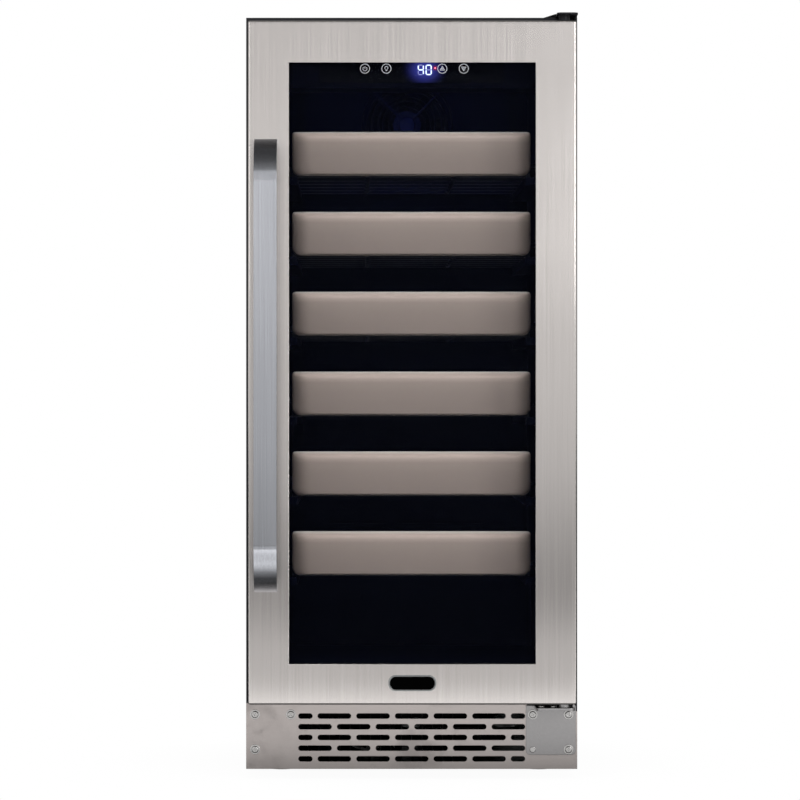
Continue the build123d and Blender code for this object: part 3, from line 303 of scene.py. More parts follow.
controls = {
    "height": 0.8000,               # of the row of marks
    "power": -0.0525,
    "bulb": -0.0283,
    "up": 0.0347,
    "down": 0.0589,
    "circle": 0.0052,               # radius
    "line": 0.00019,
    "proud": 0.00012,               # ink over the pane
    "red": (0.0266, 0.0009),        # place and radius
    "redHeight": 0.8006,
    "segment": 0.0012,
}

display = {
    "glow": rgb(0.10, 0.12, 0.85),
    "glowReach": 0.030,         # how far the painted glow of the backlight bleeds into the dark pane round the digits
    "glowPeak": 0.42,
    "red": rgb(0.9, 0.01, 0.12),
    # reach of the painted red glow round the red lamp
    "redReach": 0.0034,
}


def displayPane(name):              # smoked plastic, with a painted glow of the backlight round the digits and round the red lamp
    low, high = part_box("display_digits")
    centre = (low + high) / 2
    finish = Finish(name)
    reach = finish.away(centre, (1.0, 1.0, 1.25))
    fade = finish.ease(reach, 0.004, display["glowReach"], 1.0, 0.0)
    speck = finish.noise(1900.0, 2.0)
    blue = finish.mixColour(fade * fade, rgb(0, 0, 0), display["glow"])
    # painted red glow in the pane round the red lamp
    lamp = finish.away((controls["red"][0], low.y, controls["redHeight"]))
    glow = finish.mixColour(finish.ease(lamp, 0.0006, display["redReach"], 1.0, 0.0), blue, display["red"])
    return finish.surface(
        Base_Color=rgb(0.002, 0.002, 0.003), Roughness=0.14 + (speck - 0.5) * 0.05, Specular_IOR_Level=0.04,
        Emission_Color=glow, Emission_Strength=display["glowPeak"])


print("making the finishes")
finishes = {
    "black_enamel": enamel("cabinetEnamel", rgb(0.009, 0.009, 0.011), roughness=0.5, gloss=0.18),
    "black_frame": moulded("framePlastic", rgb(0.006, 0.006, 0.007), gloss=0.2),
    "galvanised_steel": zincPlate("galvanisedSheet", rgb(0.42, 0.44, 0.46)),
    "brushed_stainless": brushedSteel("doorSteel", rgb(0.61, 0.575, 0.555)),
    "kick_stainless": stainedSteel("kickSteel", rgb(0.56, 0.51, 0.49)),
    "handle_stainless": brushedSteel("handleSteel", rgb(0.445, 0.455, 0.487), roughness=0.24, contrast=0.10,
                                     about="X", turn=0.25),
    "hinge_steel": castMetal("hingePlating", rgb(0.37, 0.36, 0.36), roughness=0.32),
    "screw_steel": castMetal("screwPlating", rgb(0.50, 0.49, 0.48), roughness=0.25),
    "foam": hardFoam("cabinetFoam", rgb(0.72, 0.62, 0.34)),
    "liner_black": moulded("linerPlastic", rgb(0.0012, 0.0016, 0.0055), roughness=0.4, grain=0.05, gloss=0.02),
    "duct_black": moulded("ductPlastic", rgb(0.0014, 0.0018, 0.0070), roughness=0.4, grain=0.08, gloss=0.02),
    "fan_plastic": moulded("fanPlastic", rgb(0.002, 0.002, 0.003), roughness=0.4, gloss=0.1),
    "guard_plastic": moulded("guardPlastic", rgb(0.003, 0.003, 0.007), roughness=0.35, gloss=0.12),
    "circuit_board": moulded("circuitBoard", rgb(0.02, 0.12, 0.05), roughness=0.45),
    "display_black": displayPane("displayPane"),
    "digit_light": glowing("digitLight", rgb(0.62, 0.74, 1.0), 2.4),
    "light_lens": glowing("stripLens", rgb(0.25, 0.35, 1.0), 0.6),
    "evaporator_aluminium": castMetal("evaporatorPlate", rgb(0.6, 0.61, 0.62)),
    "fin_aluminium": enamel("finPaint", rgb(0.006, 0.006, 0.007), roughness=0.45, gloss=0.2),
    "copper_line": tube("copperTube", rgb(0.55, 0.24, 0.12)),
    "compressor_black": enamel("compressorPaint", rgb(0.01, 0.01, 0.01), roughness=0.25),
    "rubber_black": moulded("blackRubber", rgb(0.012, 0.012, 0.012), roughness=0.7, grain=0.25),
    "tray_plastic": moulded("trayPlastic", rgb(0.05, 0.05, 0.052)),
    "clear_glass": clearPane("clearGlass", rgb(0.004, 0.005, 0.01), 0.06),
    "spacer_aluminium": castMetal("spacerBar", rgb(0.05, 0.05, 0.055), roughness=0.45),
    "bush_nylon": moulded("bushNylon", rgb(0.55, 0.55, 0.52)),
    "badge_finish": castMetal("badgeMetal", rgb(0.30, 0.31, 0.31), roughness=0.22),
    "shelf_front": satinPaint("shelfFront"),
    "rack_black": enamel("rackCoating", rgb(0.004, 0.004, 0.005), gloss=0.2),
}
# a painted glow on the printed key marks
markInk = glowing("markInk", rgb(0.80, 0.82, 0.88), 1.4)
# a faint painted glow for the unlit segments
unlitSegmentPaintedGlow = glowing("ghostSegment", rgb(0.42, 0.46, 0.85), 0.9)
redLight = glowing("redLamp", rgb(1.0, 0.25, 0.35), 2.2)
badgeInk = enamel("badgeInk", rgb(0.0006, 0.0006, 0.0006), roughness=0.3, gloss=0.0)

slotOf = {row["node"]: row["material_slot"] for row in frame["record"]["subparts"]}
bodyOf = {node: body for body, parts in frame["record"]["behaviour"]["bodies"].items() for node in parts}

for node, slotName in slotOf.items():
    piece = nodes[node]
    piece.data.materials.clear()
    piece.data.materials.append(finishes[slotName])


def relax():                        # nothing selected, nothing being edited
    active = bpy.context.view_layer.objects.active
    if active and active.mode != "OBJECT":
        bpy.ops.object.mode_set(mode="OBJECT")
    bpy.ops.object.select_all(action="DESELECT")


def hold(piece):                    # only this piece is selected
    relax()
    piece.select_set(True)
    bpy.context.view_layer.objects.active = piece


def select(piece, kind, test):      # vertices, edges or faces picked by their place and direction
    hold(piece)
    bpy.ops.object.mode_set(mode="EDIT")
    bpy.ops.mesh.select_mode(type=kind)
    bpy.ops.mesh.select_all(action="DESELECT")
    bpy.ops.object.mode_set(mode="OBJECT")
    mesh = piece.data
    if kind == "FACE":
        for face in mesh.polygons:
            face.select = bool(test(face.center, face.normal))
    elif kind == "EDGE":
        for edge in mesh.edges:
            start, end = (mesh.vertices[index].co for index in edge.vertices)
            edge.select = bool(test((start + end) / 2, (end - start).normalized()))
    else:
        for vertex in mesh.vertices:
            vertex.select = bool(test(vertex.co, vertex.normal))
    bpy.ops.object.mode_set(mode="EDIT")


def selectAll(piece):
    hold(piece)
    bpy.ops.object.mode_set(mode="EDIT")
    bpy.ops.mesh.select_all(action="SELECT")


def extrude(x, y, z):
    bpy.ops.mesh.extrude_region_move(TRANSFORM_OT_translate={"value": (x, y, z)})


def outward():                      # normals of the piece in hand, and no doubles
    bpy.ops.mesh.select_all(action="SELECT")
    bpy.ops.mesh.remove_doubles(threshold=0.000005)
    bpy.ops.mesh.normals_make_consistent(inside=False)


def fixPlace(piece):
    hold(piece)
    bpy.ops.object.transform_apply(location=True, rotation=True, scale=True)


def cube(name, low, high):          # a box between two corners
    relax()
    middle = [(a + b) / 2 for a, b in zip(low, high)]
    bpy.ops.mesh.primitive_cube_add(size=1, location=middle)
    piece = bpy.context.object
    piece.name = name
    piece.scale = [b - a for a, b in zip(low, high)]
    fixPlace(piece)
    return piece


def disc(name, centre, radius, depth, sides=32, axis="Z"):      # a round bar, its middle at centre
    relax()
    turn = {"X": (0, math.radians(90), 0), "Y": (math.radians(90), 0, 0), "Z": (0, 0, 0)}[axis]
    bpy.ops.mesh.primitive_cylinder_add(vertices=sides, radius=radius, depth=depth, location=centre, rotation=turn)
    piece = bpy.context.object
    piece.name = name
    fixPlace(piece)
    return piece


def ring(name, centre, radius, wire, sides=48, around=8, flat=1.0):     # a round wire facing the door
    relax()
    bpy.ops.mesh.primitive_torus_add(
        major_radius=radius, minor_radius=wire, major_segments=sides, minor_segments=around,
        location=centre, rotation=(math.radians(90), 0, 0))
    piece = bpy.context.object
    piece.name = name
    piece.scale = (1, 1, flat)
    fixPlace(piece)
    return piece


def modify(piece, kind, **settings):
    hold(piece)
    modifier = piece.modifiers.new(kind.title(), kind)
    for name, value in settings.items():
        setattr(modifier, name, value)
    bpy.ops.object.modifier_apply(modifier=modifier.name)


def soften(piece, width, segments=2, angle=30):
    modify(piece, "BEVEL", width=width, segments=segments, limit_method="ANGLE",
           angle_limit=math.radians(angle), harden_normals=False, use_clamp_overlap=True)


def joined(name, pieces):
    relax()
    for piece in pieces:
        piece.select_set(True)
    bpy.context.view_layer.objects.active = pieces[0]
    if len(pieces) > 1:
        bpy.ops.object.join()
    pieces[0].name = name
    return pieces[0]


def settle(piece, slot, body, replaced=(), angle=32, finish=None):
    fixPlace(piece)
    bpy.ops.object.shade_smooth_by_angle(angle=math.radians(angle))
    modify(piece, "WEIGHTED_NORMAL", keep_sharp=True)
    piece.data.materials.clear()
    piece.data.materials.append(finish or finishes[slot])
    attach(piece, body)
    if replaced:
        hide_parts(*replaced)
    return piece


print("shaping the door")

doorFace = {
    "edge": 0.0024,         # rounding of the outer edges
    "lip": 0.002,           # the edge turned in round the window
    "lipEdge": 0.0006,
    "stile": 0.0455,
    "topRail": 0.0469,
    "bottomRail": 0.0453,
    "sheet": 0.001,
}


def makeDoorFace():
    low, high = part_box("door_skin")
    piece = cube("doorFace", low, high)
    select(piece, "FACE", lambda place, normal: normal.y > 0.9)
    bpy.ops.mesh.delete(type="ONLY_FACE")
    front = low.y + 0.0001
    select(piece, "EDGE", lambda place, along: place.y < front or abs(along.y) > 0.9)
    bpy.ops.mesh.bevel(offset=doorFace["edge"], segments=5, profile=0.5)
    select(piece, "FACE", lambda place, normal: normal.y < -0.999)
    bpy.ops.mesh.inset(thickness=doorFace["stile"] - doorFace["edge"])
    bpy.ops.object.mode_set(mode="OBJECT")
    inner = low.z + doorFace["stile"] + 0.01
    upper = high.z - doorFace["stile"] - 0.01

    def inWindow(place):
        return place.y < front and abs(place.x) < high.x - 0.04

    select(piece, "EDGE", lambda place, along: inWindow(place) and abs(along.x) > 0.9 and place.z < inner)
    bpy.ops.transform.translate(value=(0, 0, doorFace["bottomRail"] - doorFace["stile"]))
    select(piece, "EDGE", lambda place, along: inWindow(place) and abs(along.x) > 0.9 and place.z > upper)
    bpy.ops.transform.translate(value=(0, 0, doorFace["stile"] - doorFace["topRail"]))
    middle = (low + high) / 2
    select(piece, "FACE", lambda place, normal: place.y < front and (place - middle).xz.length < 0.02)
    extrude(0, doorFace["lip"], 0)
    bpy.ops.mesh.delete(type="FACE")
    select(piece, "EDGE", lambda place, along: place.y < front and abs(place.x) < high.x - 0.04
           and low.z + 0.04 < place.z < high.z - 0.04)
    bpy.ops.mesh.bevel(offset=doorFace["lipEdge"], segments=3, profile=0.5)
    outward()
    modify(piece, "SOLIDIFY", thickness=doorFace["sheet"] * 0.8, offset=-1)
    return settle(piece, "brushed_stainless", "door", ("door_skin",))


handleSizes = {
    "thickness": 0.008,
    "bendTop": 0.050,
    "bendBottom": 0.056,
    "edge": 0.0016,
    "steps": 20,
}


def makeHandle():
    low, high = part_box("handle_bar")
    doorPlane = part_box("door_skin")[0].y
    reach = doorPlane - low.y
    top, bottom = handleSizes["bendTop"], handleSizes["bendBottom"]
    start = low.z + math.sqrt(bottom ** 2 - (bottom - reach) ** 2)
    end = high.z - math.sqrt(top ** 2 - (top - reach) ** 2)
    relax()
    bpy.ops.mesh.primitive_plane_add(
        size=1, location=((low.x + high.x) / 2, low.y + handleSizes["thickness"] / 2, start))
    piece = bpy.context.object
    piece.name = "handleBar"
    piece.scale = (high.x - low.x, handleSizes["thickness"], 1)
    fixPlace(piece)
    selectAll(piece)
    extrude(0, 0, end - start)
    turn = math.radians(86)
    for height, way, bend in ((end, 1, top), (start, -1, bottom)):
        select(piece, "FACE", lambda place, normal: abs(place.z - height) < 0.0001 and abs(normal.z) > 0.9)
        bpy.ops.mesh.spin(
            steps=handleSizes["steps"], angle=turn * way, center=(0, low.y + bend, height), axis=(1, 0, 0))
    selectAll(piece)
    bpy.ops.mesh.bisect(
        plane_co=(0, doorPlane - 0.00005, 0), plane_no=(0, 1, 0), clear_outer=True, use_fill=True)
    outward()
    soften(piece, handleSizes["edge"], 3)
    return settle(piece, "handle_stainless", "door", ("handle_bar",), angle=40)


shelfSizes = {
    "depth": 0.0100,        # how far the front bulges
    "side": 0.0220,         # rounding of the front, towards the ends
    "top": 0.0090,
    "bottom": 0.0025,
    "cornerLow": 0.009,
    "cornerHigh": 0.004,
    "steps": 12,
    "wall": 0.0025,
    "hollow": 0.009,
}


def makeShelfFront(name, number):
    node = "shelf_%d_trim" % number
    low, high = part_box(node)
    deep = shelfSizes["depth"]
    piece = cube(name, (low.x, low.y + deep, low.z), high)
    select(piece, "EDGE", lambda place, along: abs(along.y) > 0.9 and place.z < (low.z + high.z) / 2)
    bpy.ops.mesh.bevel(offset=shelfSizes["cornerLow"], segments=8, profile=0.5)
    select(piece, "EDGE", lambda place, along: abs(along.y) > 0.9 and place.z > high.z - 0.001)
    bpy.ops.mesh.bevel(offset=shelfSizes["cornerHigh"], segments=5, profile=0.5)
    # the face grows forward in steps, each one smaller, round a quarter circle
    select(piece, "FACE", lambda place, normal: normal.y < -0.99)
    steps = shelfSizes["steps"]
    wide, top, bottom = (high.x - low.x) / 2, high.z, low.z
    middle = (low.x + high.x) / 2
    before = (0.0, 0.0)
    for step in range(1, steps + 1):
        angle = math.radians(90 * step / steps)
        inward, forward = 1 - math.cos(angle), math.sin(angle)
        extrude(0, -(forward - before[1]) * deep, 0)
        newWide = (high.x - low.x) / 2 - inward * shelfSizes["side"]
        newTop = high.z - inward * shelfSizes["top"]
        newBottom = low.z + inward * shelfSizes["bottom"]
        centre = (middle, 0, (top + bottom) / 2)
        bpy.ops.transform.resize(
            value=(newWide / wide, 1, (newTop - newBottom) / (top - bottom)), center_override=centre)
        bpy.ops.transform.translate(value=(0, 0, (newTop + newBottom) / 2 - (top + bottom) / 2))
        wide, top, bottom, before = newWide, newTop, newBottom, (inward, forward)
    # hollow behind
    select(piece, "FACE", lambda place, normal: normal.y > 0.99)
    bpy.ops.mesh.inset(thickness=shelfSizes["wall"])
    extrude(0, -shelfSizes["hollow"], 0)
    outward()
    return settle(piece, "shelf_front", "shelf_%d" % number, (node,), angle=40)


badgeSizes = {
    "rim": 0.0014,
    "recess": 0.0004,
    "edge": 0.00045,
}


def makeBadge():
    low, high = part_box("badge_plate")
    rim = cube("badgeRim", low, high)
    select(rim, "EDGE", lambda place, along: abs(along.y) > 0.9)
    bpy.ops.mesh.bevel(offset=(high.z - low.z) / 2 - 0.0006, segments=14, profile=0.5)
    select(rim, "FACE", lambda place, normal: normal.y < -0.99)
    bpy.ops.mesh.inset(thickness=badgeSizes["rim"])
    extrude(0, badgeSizes["recess"], 0)
    outward()
    soften(rim, badgeSizes["edge"], 3, 50)
    settle(rim, "badge_finish", "door", ("badge_plate",), angle=50)
    inset = badgeSizes["rim"] + 0.0003
    face = cube("badgeFace", (low.x + inset, low.y + badgeSizes["recess"] * 0.4, low.z + inset),
                (high.x - inset, low.y + badgeSizes["recess"] + 0.0003, high.z - inset))
    select(face, "EDGE", lambda place, along: abs(along.y) > 0.9)
    bpy.ops.mesh.bevel(offset=(high.z - low.z) / 2 - inset - 0.0005, segments=14, profile=0.5)
    bpy.ops.object.mode_set(mode="OBJECT")
    settle(face, "display_black", "door", angle=50, finish=badgeInk)


makeDoorFace()
makeHandle()
makeBadge()

print("shaping the shelf fronts")
shelves = sum(1 for name in nodes if name.startswith("shelf_") and name.endswith("_trim"))
for number in range(1, shelves + 1):
    makeShelfFront("shelfFront%d" % number, number)

print("shaping the screws")

screwSizes = {
    "head": 0.004,
    "height": 0.0021,
    "washer": 0.0056,
    "sheet": 0.0009,
    "slot": 0.0008,
    "slotLength": 0.0042,
    "slotDepth": 0.0014,
}

screwPlaces = {
    "outer": 0.0100,        # in from the sides of the cabinet
    "inner": 0.0502,
    "high": 0.0733,
    "low": 0.0340,
    "plate": 0.003,         # thickness of the hinge plate
    "leg": (0.1451, 0.1581),
    "legY": -0.2305,
    "legTop": 0.0835,
    "top": (0.1675, 0.1788),
    "topY": -0.162,
}


def makeScrewHead(name, head, height, washer=0.0, cross=True):      # its seat at the origin, facing up
    top = disc(name, (0, 0, height / 2), head, height, 28)
    select(top, "EDGE", lambda place, along: place.z > height * 0.9)
    bpy.ops.mesh.bevel(offset=height * 0.55, segments=4, profile=0.5)
    bpy.ops.object.mode_set(mode="OBJECT")
    if cross:
        size = screwSizes
        arms = []
        for x, y in ((size["slotLength"] / 2, size["slot"] / 2), (size["slot"] / 2, size["slotLength"] / 2)):
            arm = cube("arm", (-x, -y, height - size["slotDepth"]), (x, y, height + 0.001))
            select(arm, "FACE", lambda place, normal: normal.z < -0.9)
            bpy.ops.transform.resize(value=(0.6, 0.6, 1), center_override=(0, 0, 0))
            bpy.ops.object.mode_set(mode="OBJECT")
            arms.append(arm)
        for arm in arms:
            modify(top, "BOOLEAN", operation="DIFFERENCE", object=arm, solver="EXACT")
            bpy.data.objects.remove(arm)
    parts = [top]
    if washer:
        plate = disc("washer", (0, 0, screwSizes["sheet"] / 2), washer, screwSizes["sheet"], 36)
        soften(plate, 0.0003, 2)
        fixPlace(top)
        top.location = (0, 0, screwSizes["sheet"])
        fixPlace(top)
        parts.append(plate)
    return joined(name, parts)


def placeScrews():
    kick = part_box("toe_kick")
    outer, inner = kick[1].x - screwPlaces["outer"], kick[1].x - screwPlaces["inner"]
    high, low = screwPlaces["high"], screwPlaces["low"]
    washered = makeScrewHead("washered", screwSizes["head"], screwSizes["height"], washer=screwSizes["washer"])
    small = makeScrewHead("small", 0.0036, 0.0018)
    button = makeScrewHead("button", 0.0034, 0.0013, cross=False)
    flat = makeScrewHead("flat", 0.004, 0.0012)
    made = []

    def put(kind, place, facing, turn):
        copy = kind.copy()
        copy.data = kind.data.copy()
        bpy.context.scene.collection.objects.link(copy)
        turned = math.radians(turn)
        copy.rotation_euler = (math.radians(90), turned, 0) if facing == "front" else (0, 0, turned)
        copy.location = place
        fixPlace(copy)
        made.append(copy)

    frontKick = kick[0].y
    for number, (x, z) in enumerate(((-outer, high), (-inner, high), (-outer, low))):
        put(washered, (x, frontKick, z), "front", 18 + 31 * number)
    for number, (x, z) in enumerate(((outer, high), (inner, high), (outer, low))):
        put(washered, (x, frontKick - screwPlaces["plate"], z), "front", 40 + 23 * number)
    put(button, (inner, frontKick - screwPlaces["plate"], low), "front", 0)
    legTop = screwPlaces["legTop"]
    for number, x in enumerate(screwPlaces["leg"]):
        put(small, (x, screwPlaces["legY"], legTop), "up", 30 * number)
    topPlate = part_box("upper_hinge_bracket")
    for number, x in enumerate(screwPlaces["top"]):
        put(flat, (x, screwPlaces["topY"], topPlate[1].z), "up", 25 + 40 * number)
    for kind in (washered, small, button, flat):
        bpy.data.objects.remove(kind)
    piece = joined("caseScrews", made)
    settle(piece, "screw_steel", "cabinet", ("case_screws",), angle=35)


placeScrews()

print("shaping the controls")

def inkRing(x, z, radius, line, sides=44, face=0.0):
    return ring("ink", (x, face, z), radius, line, sides, 6)


def inkStroke(points, line, face):          # a flat stroke along points in the face's plane
    parts = []
    for (x1, z1), (x2, z2) in zip(points, points[1:]):
        length = math.hypot(x2 - x1, z2 - z1)
        bar = disc("stroke", ((x1 + x2) / 2, face, (z1 + z2) / 2), line, length + line, 8)
        hold(bar)
        angle = math.atan2(x2 - x1, z2 - z1)
        bpy.ops.object.origin_set(type="ORIGIN_GEOMETRY")
        bar.rotation_euler = (0, angle, 0)
        fixPlace(bar)
        parts.append(bar)
    return parts


def arcPoints(x, z, radius, start, end, steps=14):
    angles = [math.radians(start + (end - start) * step / steps) for step in range(steps + 1)]
    return [(x + radius * math.sin(angle), z + radius * math.cos(angle)) for angle in angles]


def makeMarks():
    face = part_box("display_panel")[0].y - controls["proud"]
    z = controls["height"]
    line = controls["line"]
    parts = []
    for name in ("power", "bulb", "up", "down"):
        parts.append(inkRing(controls[name], z, controls["circle"], line * 1.15, face=face))
    x = controls["power"]
    parts += inkStroke(arcPoints(x, z - 0.0002, 0.0023, 35, 325), line, face)
    parts += inkStroke([(x, z + 0.0026), (x, z + 0.0002)], line, face)
    x = controls["bulb"]
    parts += inkStroke(arcPoints(x, z + 0.0007, 0.0018, -140, 140), line, face)
    parts += inkStroke([(x - 0.0009, z - 0.0015), (x + 0.0009, z - 0.0015)], line, face)
    parts += inkStroke([(x - 0.0008, z - 0.0023), (x + 0.0008, z - 0.0023)], line, face)
    for name, way in (("up", 1), ("down", -1)):
        x = controls[name]
        corners = [(x, z + 0.0026 * way), (x + 0.0026, z - 0.0018 * way), (x - 0.0026, z - 0.0018 * way)]
        parts += inkStroke(corners + corners[:1], line, face)
        inner = [(x, z + 0.0009 * way), (x + 0.0010, z - 0.0008 * way), (x - 0.0010, z - 0.0008 * way)]
        parts += inkStroke(inner + inner[:1], line * 0.8, face)
    # the printed marks are given a painted glow
    marks = joined("keyMarks", parts)
    hold(marks)
    settle(marks, "digit_light", "cabinet", finish=markInk)

    low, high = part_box("display_digits")
    stroke = controls["segment"]
    middle = (low.z + high.z) / 2
    # unlit segments, given a faint painted glow
    four, zero = low.x, high.x - 0.007 + stroke / 2
    unlit = [
        [(four + stroke * 1.1, high.z - stroke / 2), (four + 0.007 - stroke * 1.6, high.z - stroke / 2)],
        [(four + stroke * 1.1, low.z + stroke / 2), (four + 0.007 - stroke * 1.6, low.z + stroke / 2)],
        [(four + stroke / 2, middle - stroke), (four + stroke / 2, low.z + stroke * 1.2)],
        [(zero + stroke * 0.7, middle), (zero + 0.007 - stroke * 1.9, middle)],
    ]
    parts = []
    for points in unlit:
        parts += inkStroke(points, stroke / 2.4, face + 0.0002)
    settle(joined("unlitSegments", parts), "digit_light", "cabinet", finish=unlitSegmentPaintedGlow)

    place, radius = controls["red"]
    lamp = disc("redLamp", (place, face, controls["redHeight"]), radius, 0.0003, 24, "Y")
    soften(lamp, 0.0001, 2)
    settle(lamp, "digit_light", "cabinet", finish=redLight)


makeMarks()

print("shaping the fan guard")

guardSizes = {
    "rings": (0.0220, 0.0294, 0.0350, 0.0430, 0.0488, 0.0552),
    "wire": 0.0011,
    "rib": 0.0013,
    "hub": 0.010,
    "lug": 0.045,
    "lugRadius": 0.005,
    "screw": 0.0026,
}


def makeFanGuard():
    low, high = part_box("fan_guard")
    centre = (low + high) / 2
    parts = []
    for radius in guardSizes["rings"]:
        parts.append(ring("wire", centre, radius, guardSizes["wire"], 64, 8))
    hub = disc("hub", centre, guardSizes["hub"], high.y - low.y, 32, "Y")
    soften(hub, 0.001, 3)
    parts.append(hub)
    lug = guardSizes["lug"]
    for x in (-lug, lug):
        for z in (-lug, lug):
            seat = disc("lug", (centre.x + x, centre.y, centre.z + z), guardSizes["lugRadius"], high.y - low.y, 24, "Y")
            soften(seat, 0.0007, 2)
            parts.append(seat)
            length = math.hypot(x, z) - guardSizes["hub"]
            half = guardSizes["rib"]
            rib = cube("rib", (-half, low.y, -length / 2), (half, high.y - 0.0002, length / 2))
            soften(rib, 0.0006, 2)
            reach = (guardSizes["hub"] + length / 2 - 0.001) / math.hypot(x, z)
            rib.rotation_euler = (0, math.atan2(x, z), 0)
            rib.location = (centre.x + x * reach, 0, centre.z + z * reach)
            fixPlace(rib)
            parts.append(rib)
    settle(joined("fanGuard", parts), "guard_plastic", "cabinet", ("fan_guard",), angle=40)
    heads = []
    for x in (-lug, lug):
        for z in (-lug, lug):
            head = makeScrewHead("guardScrew", guardSizes["screw"], 0.0014)
            head.rotation_euler = (math.radians(90), math.radians(20 + 500 * x), 0)
            head.location = (centre.x + x, low.y, centre.z + z)
            fixPlace(head)
            heads.append(head)
    settle(joined("guardScrews", heads), "screw_steel", "cabinet")


makeFanGuard()

print("rounding the edges of the sheets and mouldings")

# node: the edge's radius and its steps, the radius under half of the piece's thinnest wall
edges = {
    "cabinet_wrapper": (0.0014, 3),
    "control_housing": (0.0012, 3),
    "duct_panel": (0.0015, 3),
    "door_core": (0.0010, 2),
    "door_gasket": (0.0012, 3),
    "lower_hinge_bracket": (0.0006, 2),
    "upper_hinge_bracket": (0.0006, 2),
    "hinge_cover": (0.0004, 2),
    "toe_kick": (0.00025, 1),
    "compressor_cover": (0.0003, 1),
    "rear_panel": (0.0004, 1),
    "wall_spacers": (0.0015, 3),
    "display_panel": (0.0005, 2),
    "light_strip": (0.0004, 2),
    "foot_front_left": (0.0008, 2),
    "foot_front_right": (0.0008, 2),
    "foot_back_left": (0.0008, 2),
    "foot_back_right": (0.0008, 2),
}
for number in range(1, shelves + 1):
    edges["shelf_%d_rack" % number] = (0.0006, 2)


def roundNode(node, width, segments):
    source = nodes[node]
    copy = source.copy()
    copy.data = source.data.copy()
    copy.name = "".join(word if n == 0 else word.title() for n, word in enumerate(node.split("_"))) + "Rounded"
    copy.parent = None
    copy.modifiers.clear()
    copy.matrix_world = source.matrix_world
    bpy.context.scene.collection.objects.link(copy)
    hold(copy)
    bpy.ops.object.mode_set(mode="EDIT")
    bpy.ops.mesh.select_all(action="SELECT")
    bpy.ops.mesh.remove_doubles(threshold=0.000005)
    bpy.ops.mesh.dissolve_limited(angle_limit=math.radians(1.0))
    bpy.ops.object.mode_set(mode="OBJECT")
    soften(copy, width, segments, 40)
    settle(copy, slotOf[node], bodyOf[node], (node,), angle=35)


for node, (width, segments) in edges.items():
    roundNode(node, width, segments)


print("lighting the room")

stageSizes = {
    "floor": 60.0,
    "near": 0.12,           # the floor keeps its shadow within this distance
    "far": 0.45,            # and is plain white from here
    "whitened": 0.96,       # how much of the shadow the camera misses near the unit
    "daylight": 0.45,       # strength of the room's plain light
}

# brightness of the floor in reflections, by distance in front of the unit in metres
floorInSteel = ((0.0, 0.10), (0.06, 0.30), (0.12, 0.66), (0.18, 1.3), (0.28, 1.25), (0.34, 1.05),
                (0.6, 1.2), (0.9, 1.5), (1.16, 1.6), (1.28, 0.66), (1.45, 0.5), (1.8, 0.68), (2.1, 0.84),
                (2.6, 0.86), (3.0, 0.60), (3.6, 0.27), (4.4, 0.23), (6.5, 0.42), (12.0, 0.68), (20.0, 0.80))

# and of the room, by the height of the reflected ray
roomInSteel = ((0.0, 0.86), (0.025, 0.84), (0.05, 0.75), (0.07, 0.68), (0.09, 0.56), (0.14, 0.50),
               (0.3, 0.42), (0.6, 0.32), (0.85, 0.12), (1.0, 0.07))


def grey(value):
    return (value, value, value)


relax()
bpy.ops.mesh.primitive_plane_add(size=stageSizes["floor"], location=(0, 0, cadBox[0].z))
floor = bpy.context.object
floor.name = "floor"


def floorFinish():
    finish = Finish("floorPaper")
    speck = finish.noise(40.0, 2.0)
    paper = finish.mixColour(speck, rgb(0.90, 0.90, 0.90), rgb(0.93, 0.93, 0.93))
    matt = finish.node("BsdfPrincipled", None, {"Base Color": paper, "Roughness": 0.8, "Specular IOR Level": 0.2})
    seen = finish.node("LightPath", output="Is Camera Ray")
    shiny = finish.node("LightPath", output="Is Glossy Ray")
    far = finish.ease(finish.away((0, 0, 0)), stageSizes["near"], stageSizes["far"], stageSizes["whitened"], 1.0)
    white = finish.node("Emission", None, {"Color": rgb(1, 1, 1), "Strength": 1.0})
    lit = finish.node("MixShader", None, {0: seen * far, 1: matt, 2: white})
    reach = floorInSteel[-1][0]
    across = finish.node("SeparateXYZ", None, {0: finish.place((1, 1, 1), (0, cadBox[0].y, 0))}, output=1)
    stops = [(distance / reach, grey(value)) for distance, value in floorInSteel]
    band = finish.node("ValToRGB", {"stops": stops}, {0: across * (-1 / reach)})
    mirrored = finish.node("Emission", None, {"Color": band, "Strength": 1.0})
    both = finish.node("MixShader", None, {0: shiny, 1: lit, 2: mirrored})
    finish.node("OutputMaterial", None, {"Surface": both})
    return finish.material


floor.data.materials.append(floorFinish())

room = bpy.data.worlds.new("room")
bpy.context.scene.world = room
air = Finish("room", room)
facing = air.node("TexCoord", output="Generated")
upward = air.node("SeparateXYZ", None, {0: facing}, output=2)
band = air.node("ValToRGB", {"stops": [(height, grey(value)) for height, value in roomInSteel]}, {0: upward})
shiny = air.node("LightPath", output="Is Glossy Ray")
plain = air.node("LightPath", output="Is Camera Ray") + air.node("LightPath", output="Is Transmission Ray")
level = air.ease(plain, 0.0, 1.0, stageSizes["daylight"], 1.0)
plainAir = air.node("Background", None, {"Color": rgb(1, 1, 1), "Strength": level})
mirrored = air.node("Background", None, {"Color": band, "Strength": 1.0})
both = air.node("MixShader", None, {0: shiny, 1: plainAir, 2: mirrored})
air.node("OutputWorld", None, {"Surface": both})

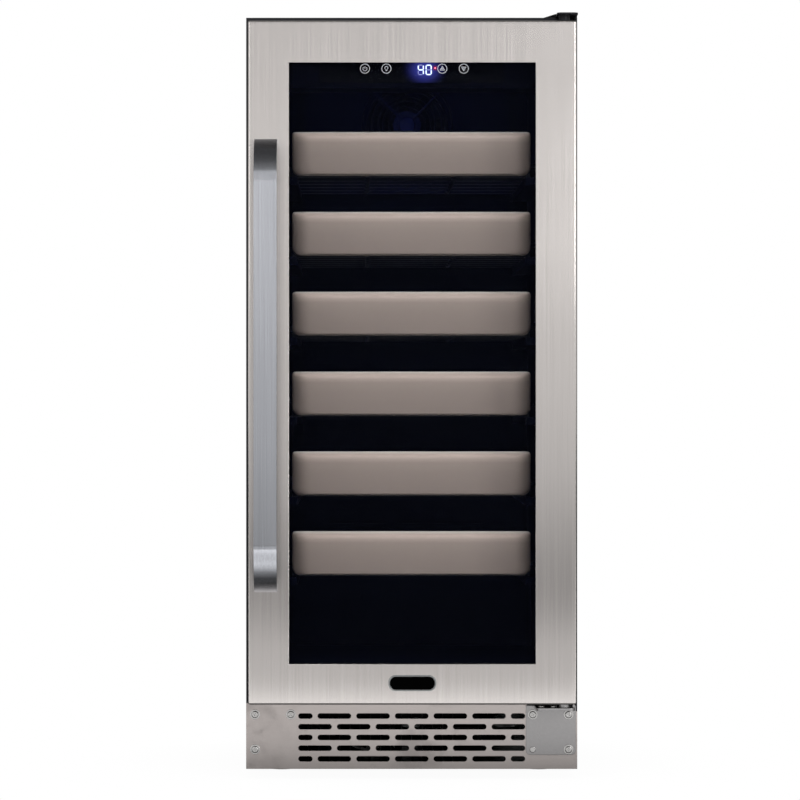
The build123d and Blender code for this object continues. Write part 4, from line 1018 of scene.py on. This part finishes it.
lamps = {
    "leftBox": {"place": (-1.9, -2.8, 1.45), "size": (0.9, 1.7), "power": 10.0, "mirrored": True},
    "rightBox": {"place": (1.9, -2.9, 1.45), "size": (0.9, 1.7), "power": 34.0, "mirrored": True},
    "top": {"place": (0.0, -0.6, 3.2), "size": (2.0, 2.0), "power": 18.0, "mirrored": False},
    "high": {"place": (0.0, -2.6, 2.3), "size": (2.0, 1.0), "power": 75.0, "mirrored": False},
}


def areaLamp(name, place, aim, size, power, colour=(1, 1, 1), mirrored=False):
    data = bpy.data.lights.new(name, "AREA")
    data.shape = "RECTANGLE"
    data.size, data.size_y = size
    data.energy = power
    data.color = colour
    lamp = bpy.data.objects.new(name, data)
    bpy.context.scene.collection.objects.link(lamp)
    lamp.location = place
    lamp.rotation_euler = (Vector(aim) - Vector(place)).to_track_quat("-Z", "Y").to_euler()
    lamp.visible_glossy = mirrored
    return lamp


middle = (cadBox[0] + cadBox[1]) / 2
for name, lamp in lamps.items():
    areaLamp(name + "Lamp", lamp["place"], middle, lamp["size"], lamp["power"], mirrored=lamp["mirrored"])

# under the light strip, aimed at the duct panel at the height given
cavityLamp = {"size": (0.16, 0.01), "power": 0.2, "colour": (0.05, 0.09, 1.0), "behind": 0.01, "aimed": 0.70}
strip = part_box("light_strip")
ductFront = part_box("duct_panel")[0]
areaLamp("cavityLamp", (0, strip[1].y + cavityLamp["behind"], strip[0].z), (0, ductFront.y, cavityLamp["aimed"]),
         cavityLamp["size"], cavityLamp["power"], cavityLamp["colour"], mirrored=True)

cameraSizes = {
    "distance": 4.5,
    "aside": -0.063,        # the camera stands this far left of the door's middle
    "middle": -0.0137,      # place on the door that the picture is centred on
    "height": 0.4265,
    "lens": 182.3,
    "sensor": 36.0,
}

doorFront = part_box("door_skin")[0].y
cameraData = bpy.data.cameras.new("camera")
cameraData.lens = cameraSizes["lens"]
cameraData.sensor_width = cameraSizes["sensor"]
cameraData.shift_x = ((cameraSizes["middle"] - cameraSizes["aside"]) * cameraSizes["lens"]
                      / (cameraSizes["sensor"] * cameraSizes["distance"]))
cameraData.clip_start = 0.05
camera = bpy.data.objects.new("camera", cameraData)
bpy.context.scene.collection.objects.link(camera)
camera.location = (cameraSizes["aside"], doorFront - cameraSizes["distance"], cameraSizes["height"])
camera.rotation_euler = (math.radians(90), 0, 0)
bpy.context.scene.camera = camera
bpy.context.scene.view_settings.view_transform = "Standard"
